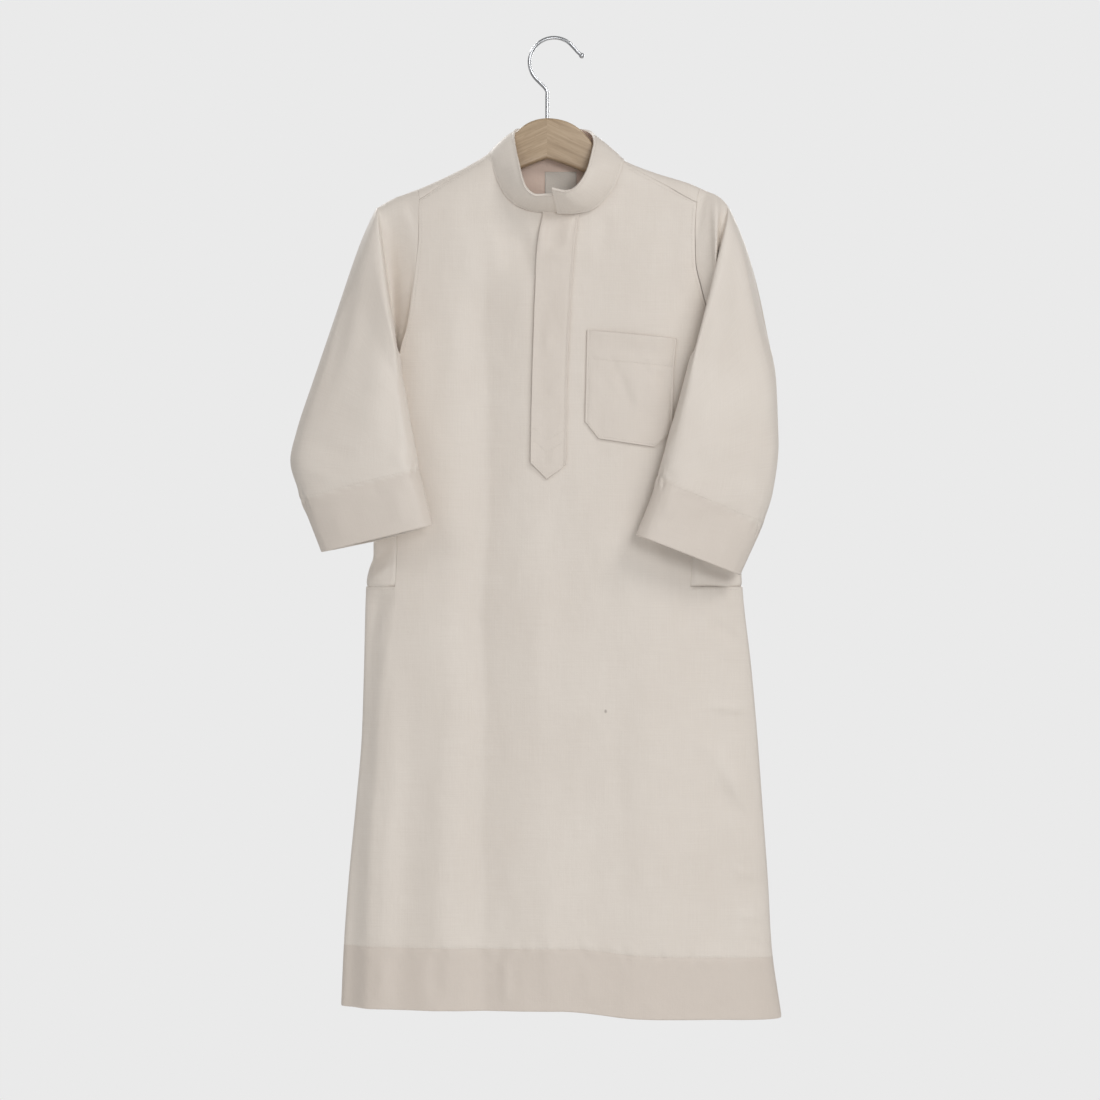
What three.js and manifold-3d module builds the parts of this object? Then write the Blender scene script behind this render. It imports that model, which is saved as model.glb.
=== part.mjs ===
// A child's thobe on a wooden hanger. Millimetres, +Z up, -Y is the front, +X is the wearer's left.
// The origin is the inside top of the hook, where a rail carries it.
import * as THREE from 'three';
import * as BufferGeometryUtils from 'three/addons/utils/BufferGeometryUtils.js';
import Module from 'manifold-3d';

const wasm = await Module();
wasm.setup();

// driving dimensions
const cloth = 1.2;            // panel thickness
const collarCloth = 2.4;      // interfaced band
const placketCloth = 1.6;     // folded and interfaced strip
const seam = 0.3;             // gap between pieces at a seam
const lift = 0.7;             // clearance of what lies on a panel
const underarmZ = -301;
const hipZ = -519.5;          // cross seam at the foot of the side panels
const backYokeZ = -185;
const hemDepth = 57;          // turned-up hem
const cuffDepth = 54;         // turned-up cuff
const shoulderRound = 25;     // how far below the shoulder line the cloth reaches its full depth
const sideFullness = 0.3;     // exponent of the rounded sides
const stemX = -6.6;           // hook stem and hanger centre line
const wireRadius = 1.7;
const crestRadius = 23.3;     // centre line of the hook's arc
const hangerThickness = 11;

// garment outline: half sections from shoulder to hem, and how deep the cloth hangs front and back
const outline = [
  { z: -143, left: -168, right: 168, front: 13, back: 12 },
  { z: -200, left: -163, right: 165, front: 18, back: 15 },
  { z: -250, left: -156, right: 161, front: 20, back: 16 },
  { z: -301, left: -152, right: 159, front: 22, back: 18 },
  { z: -343, left: -158, right: 165, front: 23, back: 19 },
  { z: -438, left: -167, right: 174, front: 26, back: 21 },
  { z: -485, left: -171, right: 177.6, front: 27, back: 22 },
  { z: -520, left: -178.4, right: 179, front: 28, back: 22 },
  { z: -598, left: -180.5, right: 187.5, front: 30, back: 24 },
  { z: -660, left: -182.5, right: 193, front: 32, back: 26 },
  { z: -728, left: -188.3, right: 198, front: 34, back: 27 },
  { z: -797, left: -195, right: 203, front: 36, back: 29 },
  { z: -860, left: -199.6, right: 206.6, front: 37, back: 31 },
  { z: -925, left: -202.5, right: 215.7, front: 39, back: 33 },
];
// armhole seam down to the underarm, then the edge of the side panel
const sideSeam = [
  { z: -140, left: -129.2, right: 138.7 },
  { z: -153, left: -128, right: 135.5 },
  { z: -186, left: -128.2, right: 133.5 },
  { z: -212, left: -130.4, right: 134 },
  { z: -240, left: -133.8, right: 140 },
  { z: -272, left: -138.6, right: 148.6 },
  { z: -301, left: -146, right: 153.2 },
  { z: -400, left: -147.2, right: 140 },
  { z: -478, left: -148.3, right: 131 },
  { z: -520, left: -150.4, right: 128.8 },
];
// the shoulder line over the hanger, and the seam of the yoke on the front
const shoulder = [
  { x: -170, ridge: -161.5, yoke: -175 },
  { x: -155.5, ridge: -152, yoke: -166 },
  { x: -129, ridge: -142.4, yoke: -153.4 },
  { x: -108, ridge: -133.2, yoke: -140 },
  { x: -85, ridge: -121.9, yoke: -126 },
  { x: -72, ridge: -114.7, yoke: -117.4 },
  { x: -60.8, ridge: -107.6, yoke: -110.4 },
  { x: -40, ridge: -98, yoke: -101 },
  { x: 0, ridge: -95, yoke: -98 },
  { x: 44, ridge: -101, yoke: -104 },
  { x: 64.2, ridge: -113.4, yoke: -116.2 },
  { x: 68, ridge: -115.8, yoke: -119.4 },
  { x: 96, ridge: -126.8, yoke: -135.4 },
  { x: 130, ridge: -137.4, yoke: -153 },
  { x: 139, ridge: -141.4, yoke: -157 },
  { x: 156.4, ridge: -148.6, yoke: -168 },
  { x: 168, ridge: -161, yoke: -180 },
];
// neckline on the front and on the back
const neckFront = [
  { x: -60.8, z: -110.2 }, { x: -55.8, z: -125.4 }, { x: -50.4, z: -140.6 }, { x: -39.8, z: -155.6 },
  { x: -25.2, z: -163.8 }, { x: -6, z: -166.8 }, { x: 22, z: -167.2 }, { x: 37, z: -162.4 },
  { x: 50.3, z: -149.6 }, { x: 58.4, z: -134.6 }, { x: 64.2, z: -116.2 },
];
const neckBack = [
  { x: -60.8, z: -108.4 }, { x: -40, z: -111.8 }, { x: 0, z: -113.6 }, { x: 44, z: -114.4 }, { x: 64.2, z: -115 },
];
// band collar: base and rim of each section, from the overlapping end round the back to the end beneath
const collarSections = [
  { baseX: 1.6, baseY: -20.6, baseZ: -167.2, rimX: -3, rimY: -51.6, rimZ: -152.4 },
  { baseX: 20, baseY: -20, baseZ: -167, rimX: 9, rimY: -50, rimZ: -151 },
  { baseX: 37, baseY: -18.6, baseZ: -162.4, rimX: 18.4, rimY: -46, rimZ: -147.4 },
  { baseX: 50.6, baseY: -16.4, baseZ: -149.6, rimX: 25.4, rimY: -41, rimZ: -139 },
  { baseX: 59, baseY: -14, baseZ: -134.6, rimX: 30.6, rimY: -34, rimZ: -129 },
  { baseX: 64.4, baseY: -8, baseZ: -118, rimX: 35.2, rimY: -22, rimZ: -112 },
  { baseX: 64.6, baseY: 0, baseZ: -112.2, rimX: 38, rimY: -4, rimZ: -92 },
  { baseX: 46, baseY: 11.2, baseZ: -113.8, rimX: 30, rimY: 16, rimZ: -83.4 },
  { baseX: 0, baseY: 12.4, baseZ: -113, rimX: 0, rimY: 25, rimZ: -82 },
  { baseX: -42, baseY: 10, baseZ: -111, rimX: -28, rimY: 18, rimZ: -82.4 },
  { baseX: -60.8, baseY: 0, baseZ: -106.6, rimX: -37.8, rimY: -3, rimZ: -87 },
  { baseX: -60.8, baseY: -8, baseZ: -113, rimX: -36.6, rimY: -18, rimZ: -104 },
  { baseX: -56.2, baseY: -13, baseZ: -126.4, rimX: -33.4, rimY: -30, rimZ: -121 },
  { baseX: -50.8, baseY: -15.8, baseZ: -140.6, rimX: -30.6, rimY: -39, rimZ: -134.6 },
  { baseX: -39.8, baseY: -17.2, baseZ: -155.4, rimX: -26.4, rimY: -45, rimZ: -146 },
  { baseX: -25.2, baseY: -18, baseZ: -163.4, rimX: -17.8, rimY: -47.6, rimZ: -152.6 },
  { baseX: -6, baseY: -17.2, baseZ: -166.2, rimX: -6, rimY: -47.6, rimZ: -152 },
  { baseX: 16, baseY: -17, baseZ: -166.4, rimX: 11, rimY: -46, rimZ: -148 },
];
// lengthwise folds: crest line from top to foot, half widths to either side, rise (minus for a trough)
const folds = [
  { side: -1, topX: -66, topZ: -185, footX: -66, footZ: -925, left: 46, right: 17, rise: 5.5 },
  { side: -1, topX: -47, topZ: -185, footX: -46, footZ: -925, left: 16, right: 30, rise: -3.5 },
  { side: -1, topX: 88, topZ: -400, footX: 92, footZ: -925, left: 62, right: 46, rise: 4 },
  { side: -1, topX: -128, topZ: -540, footX: -146, footZ: -925, left: 24, right: 34, rise: -4 },
  { side: -1, topX: 150, topZ: -560, footX: 158, footZ: -925, left: 26, right: 22, rise: -3 },
  { side: 1, topX: -96, topZ: -240, footX: -108, footZ: -925, left: 40, right: 34, rise: 5 },
  { side: 1, topX: -24, topZ: -220, footX: -30, footZ: -925, left: 30, right: 34, rise: -4.5 },
  { side: 1, topX: 48, topZ: -240, footX: 56, footZ: -925, left: 36, right: 40, rise: 5 },
  { side: 1, topX: 118, topZ: -300, footX: 128, footZ: -925, left: 30, right: 26, rise: -4 },
];
const placketEdges = [
  { z: -170, left: -11, right: 23.3 },
  { z: -192, left: -14.9, right: 20 },
  { z: -212, left: -16.4, right: 18.4 },
  { z: -250, left: -18.3, right: 15.8 },
  { z: -340, left: -21, right: 12.2 },
  { z: -419, left: -22.4, right: 11.2 },
];
const placketPoint = [{ u: 0, z: -402.6 }, { u: 0.46, z: -418.2 }, { u: 0.9, z: -407.5 }, { u: 1, z: -403 }];
const pocketTop = [{ u: 0, z: -277.6 }, { u: 1, z: -285.6 }];
const pocketFoot = [{ u: 0, z: -364 }, { u: 0.16, z: -380 }, { u: 0.8, z: -388 }, { u: 1, z: -373 }];
const pocketEdges = [{ z: -278, left: 31, right: 116.4 }, { z: -318, left: 30.2, right: 113 }, { z: -390, left: 28.6, right: 110.8 }];
const label = { left: -8.6, right: 21.4, top: -124.5, foot: -147 };
// sleeves: a row for each ring, top edge (t), lower inner edge (u), underarm passage (w), depths, front bow
const sleeveRight = [
  { tx: -147, ty: 0, tz: -149, ux: -149, uy: -14, uz: -301, wx: -154.6, wz: -300.4, front: 14, back: 15, bow: 4 },
  { tx: -160, ty: 0, tz: -155, ux: -148.6, uy: -17, uz: -302.6, wx: -156, wz: -301.4, front: 10, back: 15, bow: -2 },
  { tx: -168.4, ty: 0, tz: -160.2, ux: -147, uy: -21, uz: -305, wx: -158, wz: -304, front: 12, back: 14, bow: 0 },
  { tx: -178, ty: -1, tz: -180, ux: -144.6, uy: -24, uz: -316, wx: -161, wz: -311, front: 17, back: 13, bow: 0 },
  { tx: -194, ty: -3, tz: -222, ux: -141, uy: -26, uz: -335, wx: -163, wz: -324, front: 19, back: 12, bow: 0 },
  { tx: -211, ty: -6, tz: -273, ux: -137.6, uy: -29, uz: -354, wx: -164, wz: -343, front: 20, back: 11, bow: 0 },
  { tx: -229, ty: -11, tz: -329, ux: -133, uy: -32, uz: -376, wx: -164, wz: -366, front: 20, back: 9, bow: 0 },
  { tx: -243.6, ty: -15, tz: -374.6, ux: -129, uy: -35, uz: -398, wx: -168, wz: -392, front: 19, back: 8, bow: 0 },
  { tx: -249, ty: -18, tz: -400, ux: -126.6, uy: -37, uz: -410, wx: -170, wz: -408, front: 18, back: 8, bow: 0 },
  { tx: -240, ty: -23, tz: -431, ux: -121.4, uy: -41, uz: -429, wx: -168, wz: -432, front: 16, back: 8, bow: 0 },
  { tx: -218.6, ty: -30, tz: -486, ux: -113.4, uy: -46, uz: -460.8, wx: -160, wz: -474, front: 13, back: 8, bow: 0 },
];
const sleeveLeft = [
  { tx: 148, ty: 0, tz: -146, ux: 157, uy: -14, uz: -301, wx: 162, wz: -300.4, front: 14, back: 15, bow: -4 },
  { tx: 156, ty: 0, tz: -149.6, ux: 152, uy: -24, uz: -303, wx: 163.4, wz: -301.6, front: 19, back: 15, bow: -3 },
  { tx: 162.6, ty: 0, tz: -154.6, ux: 141, uy: -26, uz: -305, wx: 165, wz: -304.6, front: 12, back: 14, bow: 3 },
  { tx: 166, ty: 0, tz: -159.6, ux: 129.6, uy: -29, uz: -305, wx: 166, wz: -308, front: 16, back: 13, bow: 2 },
  { tx: 175, ty: -1, tz: -179, ux: 125.4, uy: -30, uz: -318, wx: 167, wz: -314, front: 19, back: 13, bow: 0 },
  { tx: 189, ty: -3, tz: -220, ux: 118.6, uy: -33, uz: -342, wx: 168.6, wz: -331, front: 20, back: 12, bow: 0 },
  { tx: 201, ty: -6, tz: -275, ux: 112, uy: -35, uz: -364, wx: 168.6, wz: -350, front: 20, back: 10, bow: 0 },
  { tx: 210.6, ty: -11, tz: -326, ux: 105, uy: -38, uz: -388, wx: 168.6, wz: -377, front: 20, back: 9, bow: 0 },
  { tx: 212, ty: -16, tz: -382, ux: 98.4, uy: -41, uz: -411, wx: 163, wz: -404, front: 18, back: 8, bow: 0 },
  { tx: 206.5, ty: -21, tz: -429.5, ux: 91.4, uy: -44, uz: -434, wx: 156, wz: -434, front: 16, back: 8, bow: 0 },
  { tx: 194, ty: -26, tz: -466, ux: 84.4, uy: -46, uz: -452, wx: 147, wz: -463, front: 14, back: 8, bow: 0 },
  { tx: 175.4, ty: -32, tz: -507.8, ux: 77.2, uy: -48, uz: -469.8, wx: 136, wz: -491, front: 13, back: 8, bow: 0 },
];

// a smooth curve through table rows that never overshoots them
function through(rows, key, value) {
  const xs = rows.map((row) => row[key]);
  const ys = rows.map((row) => row[value]);
  if (xs[0] > xs[xs.length - 1]) { xs.reverse(); ys.reverse(); }
  const slope = xs.slice(1).map((x, i) => (ys[i + 1] - ys[i]) / (x - xs[i]));
  const tangent = xs.map((_, i) => {
    if (i === 0) return slope[0];
    if (i === xs.length - 1) return slope[i - 1];
    const product = slope[i - 1] * slope[i];
    return product <= 0 ? 0 : (2 * product) / (slope[i - 1] + slope[i]);
  });
  return (x) => {
    if (x <= xs[0]) return ys[0];
    if (x >= xs[xs.length - 1]) return ys[ys.length - 1];
    const i = xs.findIndex((edge, n) => x <= xs[n + 1]);
    const h = xs[i + 1] - xs[i];
    const t = (x - xs[i]) / h;
    const rise = ys[i + 1] - ys[i];
    const near = t * (1 - t) * (1 - t) * h * tangent[i];
    const far = t * t * (t - 1) * h * tangent[i + 1];
    return ys[i] + rise * t * t * (3 - 2 * t) + near + far;
  };
}

const sideX = { left: through(outline, 'z', 'left'), right: through(outline, 'z', 'right') };
const depthAt = { '-1': through(outline, 'z', 'front'), '1': through(outline, 'z', 'back') };
const seamX = { left: through(sideSeam, 'z', 'left'), right: through(sideSeam, 'z', 'right') };
const ridgeZ = through(shoulder, 'x', 'ridge');
const yokeFrontZ = through(shoulder, 'x', 'yoke');
const neckFrontZ = through(neckFront, 'x', 'z');
const neckBackZ = through(neckBack, 'x', 'z');
const neckLeft = neckFront[0].x;
const neckRight = neckFront[neckFront.length - 1].x;
const hemZ = through([{ x: -202, z: -916 }, { x: -60, z: -917 }, { x: 20, z: -917 }, { x: 90, z: -924 }, { x: 215, z: -927 }], 'x', 'z');

const lerp = THREE.MathUtils.lerp;
const clamp = THREE.MathUtils.clamp;
const bump = (t) => (Math.abs(t) >= 1 ? 0 : Math.cos(t * Math.PI / 2) ** 2);

// depth of the body form at a place; side is -1 on the front and 1 on the back
function formY(side, x, z) {
  const left = sideX.left(z);
  const right = sideX.right(z);
  const across = clamp((2 * x - left - right) / (right - left), -1, 1);
  const below = clamp((ridgeZ(x) - z) / shoulderRound, 0, 1);
  const arch = Math.sqrt(1 - (1 - below) ** 2);
  let depth = depthAt[side](z);
  for (const fold of folds) {
    if (fold.side !== side) continue;
    const run = (fold.topZ - z) / (fold.topZ - fold.footZ);
    const offset = x - lerp(fold.topX, fold.footX, clamp(run, 0, 1));
    const grow = clamp((fold.topZ - z) / 140, 0, 1);
    depth += fold.rise * bump(offset / (offset < 0 ? fold.left : fold.right)) * grow * grow * (3 - 2 * grow);
  }
  return side * depth * (1 - across * across) ** sideFullness * arch;
}

// outward normal of the body form, by small steps over it
function formNormal(side, x, z) {
  const step = 0.5;
  const left = sideX.left(z);
  const right = sideX.right(z);
  const across = clamp((2 * x - left - right) / (right - left), -1, 1);
  if (1 - Math.abs(across) < 0.002) return new THREE.Vector3(Math.sign(across), 0, 0);
  const dx = formY(side, x + step, z) - formY(side, x - step, z);
  const below = ridgeZ(x) - z;
  if (below < 0.3) return new THREE.Vector3(0, 0, 1);
  const dz = formY(side, x, z + Math.min(step, below * 0.6)) - formY(side, x, z - Math.min(step, below * 0.6));
  const normal = new THREE.Vector3(-dx / (2 * step), 1, -dz / (2 * Math.min(step, below * 0.6)));
  return normal.normalize().multiplyScalar(side);
}

function formPoint(side, x, z) {
  return { at: new THREE.Vector3(x, formY(side, x, z), z), normal: formNormal(side, x, z) };
}

// one closed wall from a grid of points with normals; thickness goes inwards, keep() cuts cells away
function wall(grid, thickness, { closed = false, keep = () => true, outward = 0 } = {}) {
  const columns = grid.length;
  const rows = grid[0].length;
  const cells = closed ? columns : columns - 1;
  const positions = [];
  for (const shift of [outward, outward - thickness]) {
    for (const column of grid) {
      for (const point of column) positions.push(...point.at.clone().addScaledVector(point.normal, shift));
    }
  }
  const inner = columns * rows;
  const id = (i, j) => (i % columns) * rows + j;
  const kept = (i, j) => {
    if (j < 0 || j >= rows - 1) return false;
    if (!closed && (i < 0 || i >= cells)) return false;
    return keep((i + columns) % columns, j);
  };
  let turn = 0;
  const index = [];
  for (let i = 0; i < cells; i += 1) {
    for (let j = 0; j < rows - 1; j += 1) {
      if (!kept(i, j)) continue;
      const a = grid[i][j].at;
      const along = grid[(i + 1) % columns][j + 1].at.clone().sub(a);
      const cross = grid[(i + 1) % columns][j].at.clone().sub(grid[i][j + 1].at);
      turn += Math.sign(cross.cross(along).dot(grid[i][j].normal));
    }
  }
  const quad = (a, b, c, d) => (turn > 0 ? index.push(a, b, c, a, c, d) : index.push(a, c, b, a, d, c));
  for (let i = 0; i < cells; i += 1) {
    for (let j = 0; j < rows - 1; j += 1) {
      if (!kept(i, j)) continue;
      const [a, b, c, d] = [id(i, j), id(i + 1, j), id(i + 1, j + 1), id(i, j + 1)];
      quad(a, b, c, d);
      quad(inner + a, inner + d, inner + c, inner + b);
      if (!kept(i, j - 1)) quad(inner + a, inner + b, b, a);
      if (!kept(i, j + 1)) quad(inner + c, inner + d, d, c);
      if (!kept(i - 1, j)) quad(inner + d, inner + a, a, d);
      if (!kept(i + 1, j)) quad(inner + b, inner + c, c, b);
    }
  }
  const geometry = new THREE.BufferGeometry();
  geometry.setAttribute('position', new THREE.Float32BufferAttribute(positions, 3));
  geometry.setIndex(index);
  return geometry;
}

// column places across a panel: at the neck and folds they stand closer
const frontPlaces = [-128, -112, -98, -87, -78, -70, -60.8, -55.8, -50.4, -39.8, -25.2, -6, 8, 22, 37, 50.3, 58.4,
  64.2, 76, 92, 108, 122, 135.5];
const backPlaces = [-128, -108, -90, -75, -60.8, -40, -18, 0, 22, 44, 64.2, 82, 100, 118, 135.5];
const share = (x) => (x + 128) / 263.5;
const edgeSteps = [0, 0.05, 0.25, 0.6];   // from the side seam to the line of the side panel

// z levels of a panel's column below its top edge
function levelsFrom(topZ, footZ, chest, waist, skirt) {
  const levels = [];
  for (let k = 0; k < chest; k += 1) levels.push(lerp(topZ, underarmZ, k / chest));
  for (let k = 0; k < waist; k += 1) levels.push(lerp(underarmZ, hipZ, k / waist));
  for (let k = 0; k <= skirt; k += 1) levels.push(lerp(hipZ, footZ, k / skirt));
  return levels;
}

const underarmGap = 2;
const chestRows = 7;
const waistRows = 7;
const skirtRows = 11;

const shoulderLevel = -150;
function panelColumnX(place, z) {
  return lerp(seamX.left(z) + seam / 2, seamX.right(z) - seam / 2, share(place));
}

// front or back: a middle that reaches the yoke, and below the side panels also the full width
function panel(side, places, topEdge) {
  const grid = [];
  const sideColumn = (name, step, sign) => {
    const column = [];
    for (const z of levelsFrom(-160, hemZ(0), chestRows, waistRows, skirtRows)) {
      const foot = z < hipZ ? lerp(hipZ, hemZ(sideX[name](z)), (z - hipZ) / (hemZ(0) - hipZ)) : z;
      const line = seamX[name](foot) - sign * seam / 2;
      const point = formPoint(side, lerp(sideX[name](foot), line, step), foot);
      if (step === 0) point.at.y = side * seam / 2;
      column.push(point);
    }
    return column;
  };
  for (const step of edgeSteps) grid.push(sideColumn('left', step, -1));
  for (const place of places) {
    const top = topEdge(panelColumnX(place, shoulderLevel));
    const column = levelsFrom(top, hemZ(place), chestRows, waistRows, skirtRows).map((z) => (
      formPoint(side, panelColumnX(place, z), z)));
    grid.push(column);
  }
  for (const step of [...edgeSteps].reverse()) grid.push(sideColumn('right', step, 1));
  const first = edgeSteps.length;
  const last = first + places.length - 1;
  const keep = (i, j) => j >= chestRows + waistRows || (i >= first && i < last);
  return { grid, keep };
}

const frontTop = (x) => (x > neckLeft + 1 && x < neckRight - 1 ? neckFrontZ(x) : yokeFrontZ(x) - seam);
const front = panel(-1, frontPlaces, frontTop);
const back = panel(1, backPlaces, () => backYokeZ - seam);

// yoke: over the shoulders from the front seam, and below the back of the neck
const yokeFrontRows = 3;
const yokeBackRows = 4;
function yokeColumn(place) {
  const column = [];
  const inNeck = place > neckLeft + 0.1 && place < neckRight - 0.1;
  const at = (side, z) => formPoint(side, panelColumnX(place, z), z);
  const x = panelColumnX(place, shoulderLevel);
  const ridge = ridgeZ(x);
  const drop = ridge - yokeFrontZ(x);
  for (let k = 0; k < yokeFrontRows; k += 1) {
    const below = drop * (1 - k / (yokeFrontRows - 1)) ** 1.4;
    const point = at(-1, ridge - below);
    if (below === 0) point.normal.set(0, 0, 1);
    column.push(point);
  }
  const start = inNeck ? neckBackZ(place) : ridge;
  if (inNeck) column[yokeFrontRows - 1] = at(1, start);
  for (let k = 1; k <= yokeBackRows; k += 1) {
    column.push(at(1, lerp(start, backYokeZ, (k / yokeBackRows) ** 1.5)));
  }
  return column;
}
const yokeGrid = frontPlaces.map(yokeColumn);
const neckFirst = frontPlaces.indexOf(neckLeft);
const neckLast = frontPlaces.indexOf(neckRight);
const yokeKeep = (i, j) => j >= yokeFrontRows - 1 || i < neckFirst || i >= neckLast;

// side panels: from the underarm to the hip, round the side from front to back
function sidePanel(name, sign) {
  const grid = [];
  const around = [0, 0.4, 0.75, 0.95, 1, 0.95, 0.75, 0.4, 0];
  around.forEach((step, i) => {
    const side = i < 4 ? -1 : 1;
    const column = [];
    for (let k = 0; k <= waistRows; k += 1) {
      const z = lerp(underarmZ - underarmGap, hipZ + seam, k / waistRows);
      const x = lerp(seamX[name](z) + sign * seam / 2, sideX[name](z), step);
      const point = formPoint(side, x, z);
      if (step === 1) point.at.y = 0;
      column.push(point);
    }
    grid.push(column);
  });
  return wall(grid, cloth);
}

// sleeve: ring 0 follows the armhole, the others pass through seven points of their section
const frontCount = 2 + chestRows + 2;
function armholeRing(name, sign) {
  const ring = [];
  const edge = (side, z) => {
    const point = formPoint(side, seamX[name](z) + sign * seam / 2, z);
    return point;
  };
  const place = name === 'left' ? frontPlaces[0] : frontPlaces[frontPlaces.length - 1];
  const frontColumn = front.grid[edgeSteps.length + frontPlaces.indexOf(place)];
  const backColumn = back.grid[edgeSteps.length + backPlaces.indexOf(place)];
  const yoke = yokeGrid[frontPlaces.indexOf(place)];
  const outside = (point) => ({ at: point.at.clone().add(new THREE.Vector3(sign * seam, 0, 0)), normal: point.normal });
  ring.push(outside(yoke[2]), outside(yoke[1]), outside(yoke[0]));
  for (let k = 1; k < chestRows; k += 1) ring.push(outside(frontColumn[k]));
  ring.push(edge(-1, underarmZ));
  const low = new THREE.Vector3(sideX[name](underarmZ), 0, underarmZ);
  ring.push({ at: low, normal: new THREE.Vector3(sign, 0, 0) });
  ring.push(edge(1, underarmZ));
  for (let k = chestRows - 1; k >= 0; k -= 1) ring.push(outside(backColumn[k]));
  for (let k = 2 + yokeBackRows - 1; k >= 3; k -= 1) ring.push(outside(yoke[k]));
  return ring;
}

function sleeveRing(row, count, lowAt) {
  const top = new THREE.Vector3(row.tx, row.ty, row.tz);
  const low = new THREE.Vector3(row.ux, row.uy, row.uz);
  const reach = Math.hypot(row.wx - row.ux, row.wz - row.uz) / Math.hypot(row.tx - row.ux, row.tz - row.uz);
  const under = new THREE.Vector3(row.wx, lerp(row.uy, row.ty, reach) + 2, row.wz);
  const shift = (point, x, y) => point.clone().add(new THREE.Vector3(x, y, 0));
  const loop = new THREE.CatmullRomCurve3([
    top,
    shift(top.clone().lerp(low, 0.16), row.bow * 0.4, -row.front * 0.9),
    shift(top.clone().lerp(low, 0.8), row.bow * 0.6, -row.front),
    low,
    under,
    shift(under.clone().lerp(top, 0.3), 0, row.back),
    shift(under.clone().lerp(top, 0.85), 0, row.back * 0.9),
  ], true, 'centripetal');
  const lowShare = 3 / 7;
  const ring = [];
  for (let k = 0; k < count; k += 1) {
    const t = k <= lowAt ? lowShare * k / lowAt : lerp(lowShare, 1, (k - lowAt) / (count - lowAt));
    ring.push({ at: loop.getPoint(t), normal: null });
  }
  return ring;
}

function sleeveGrid(name, sign, rows) {
  const seamRing = armholeRing(name, sign);
  const lowAt = 3 + chestRows;
  const rings = [seamRing, ...rows.map((row) => sleeveRing(row, seamRing.length, lowAt))];
  const count = seamRing.length;
  const grid = [];
  for (let k = 0; k < count; k += 1) grid.push(rings.map((ring) => ring[k]));
  grid.forEach((column, k) => {
    column.forEach((point, r) => {
      if (point.normal) return;
      const before = grid[(k + count - 1) % count][r].at;
      const after = grid[(k + 1) % count][r].at;
      const up = column[Math.max(r - 1, 0)].at;
      const down = column[Math.min(r + 1, column.length - 1)].at;
      point.normal = after.clone().sub(before).cross(down.clone().sub(up)).normalize().multiplyScalar(-sign);
    });
  });
  return grid;
}

// a turned-up edge: the last rows of a piece again, inside it
function turnUp(grid, fromRow, height, options) {
  const columns = grid.map((column) => {
    const foot = column[column.length - 1];
    const above = column[fromRow];
    const reach = height / above.at.distanceTo(foot.at);
    const at = foot.at.clone().lerp(above.at, Math.min(reach, 1));
    return [{ at, normal: foot.normal.clone().lerp(above.normal, reach).normalize() }, foot];
  });
  return wall(columns, cloth, { ...options, outward: -cloth - lift });
}

// a flat piece sewn on the front, from its two side edges and its top and foot lines
function onFront(edges, top, foot, across, down, thickness, clear) {
  const left = through(edges, 'z', 'left');
  const right = through(edges, 'z', 'right');
  const topAt = through(top, 'u', 'z');
  const footAt = through(foot, 'u', 'z');
  const grid = across.map((u) => {
    const column = [];
    for (let k = 0; k <= down; k += 1) {
      const z = lerp(topAt(u), footAt(u), k / down);
      column.push(formPoint(-1, lerp(left(z), right(z), u), z));
    }
    return column;
  });
  return wall(grid, thickness, { outward: thickness + clear });
}

// collar: a strip through its sections, base edge to rim
function collar() {
  const curve = (x, y, z) => new THREE.CatmullRomCurve3(
    collarSections.map((row) => new THREE.Vector3(row[x], row[y], row[z])), false, 'centripetal');
  const base = curve('baseX', 'baseY', 'baseZ');
  const rim = curve('rimX', 'rimY', 'rimZ');
  const steps = 2 * (collarSections.length - 1);
  const grid = [];
  for (let i = 0; i <= steps; i += 1) {
    const low = base.getPoint(i / steps);
    const high = rim.getPoint(i / steps);
    low.lerp(high, 0.05);
    grid.push([0, 0.33, 0.67, 1].map((v) => ({ at: low.clone().lerp(high, v), normal: null })));
  }
  grid.forEach((column, i) => {
    const before = grid[Math.max(i - 1, 0)];
    const after = grid[Math.min(i + 1, steps)];
    column.forEach((point, j) => {
      const along = after[j].at.clone().sub(before[j].at);
      point.normal = column[3].at.clone().sub(column[0].at).cross(along).normalize();
    });
  });
  return wall(grid, collarCloth);
}

function neckLabel() {
  const grid = [0, 0.5, 1].map((u) => [0, 0.5, 1].map((v) => (
    formPoint(1, lerp(label.left, label.right, u), lerp(label.top, label.foot, v)))));
  return wall(grid, 1, { outward: -cloth - seam });
}

// closed mesh to manifold solid and back
function solid(geometry) {
  const bare = geometry.clone();
  bare.deleteAttribute('normal');
  bare.deleteAttribute('uv');
  const merged = BufferGeometryUtils.mergeVertices(bare, 1e-4);
  return new wasm.Manifold(new wasm.Mesh({
    numProp: 3,
    vertProperties: new Float32Array(merged.attributes.position.array),
    triVerts: new Uint32Array(merged.index.array),
  }));
}
function fromSolid(body) {
  const mesh = body.getMesh();
  const geometry = new THREE.BufferGeometry();
  geometry.setAttribute('position', new THREE.Float32BufferAttribute(mesh.vertProperties, 3));
  geometry.setIndex(new THREE.BufferAttribute(mesh.triVerts, 1));
  return geometry;
}

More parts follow.
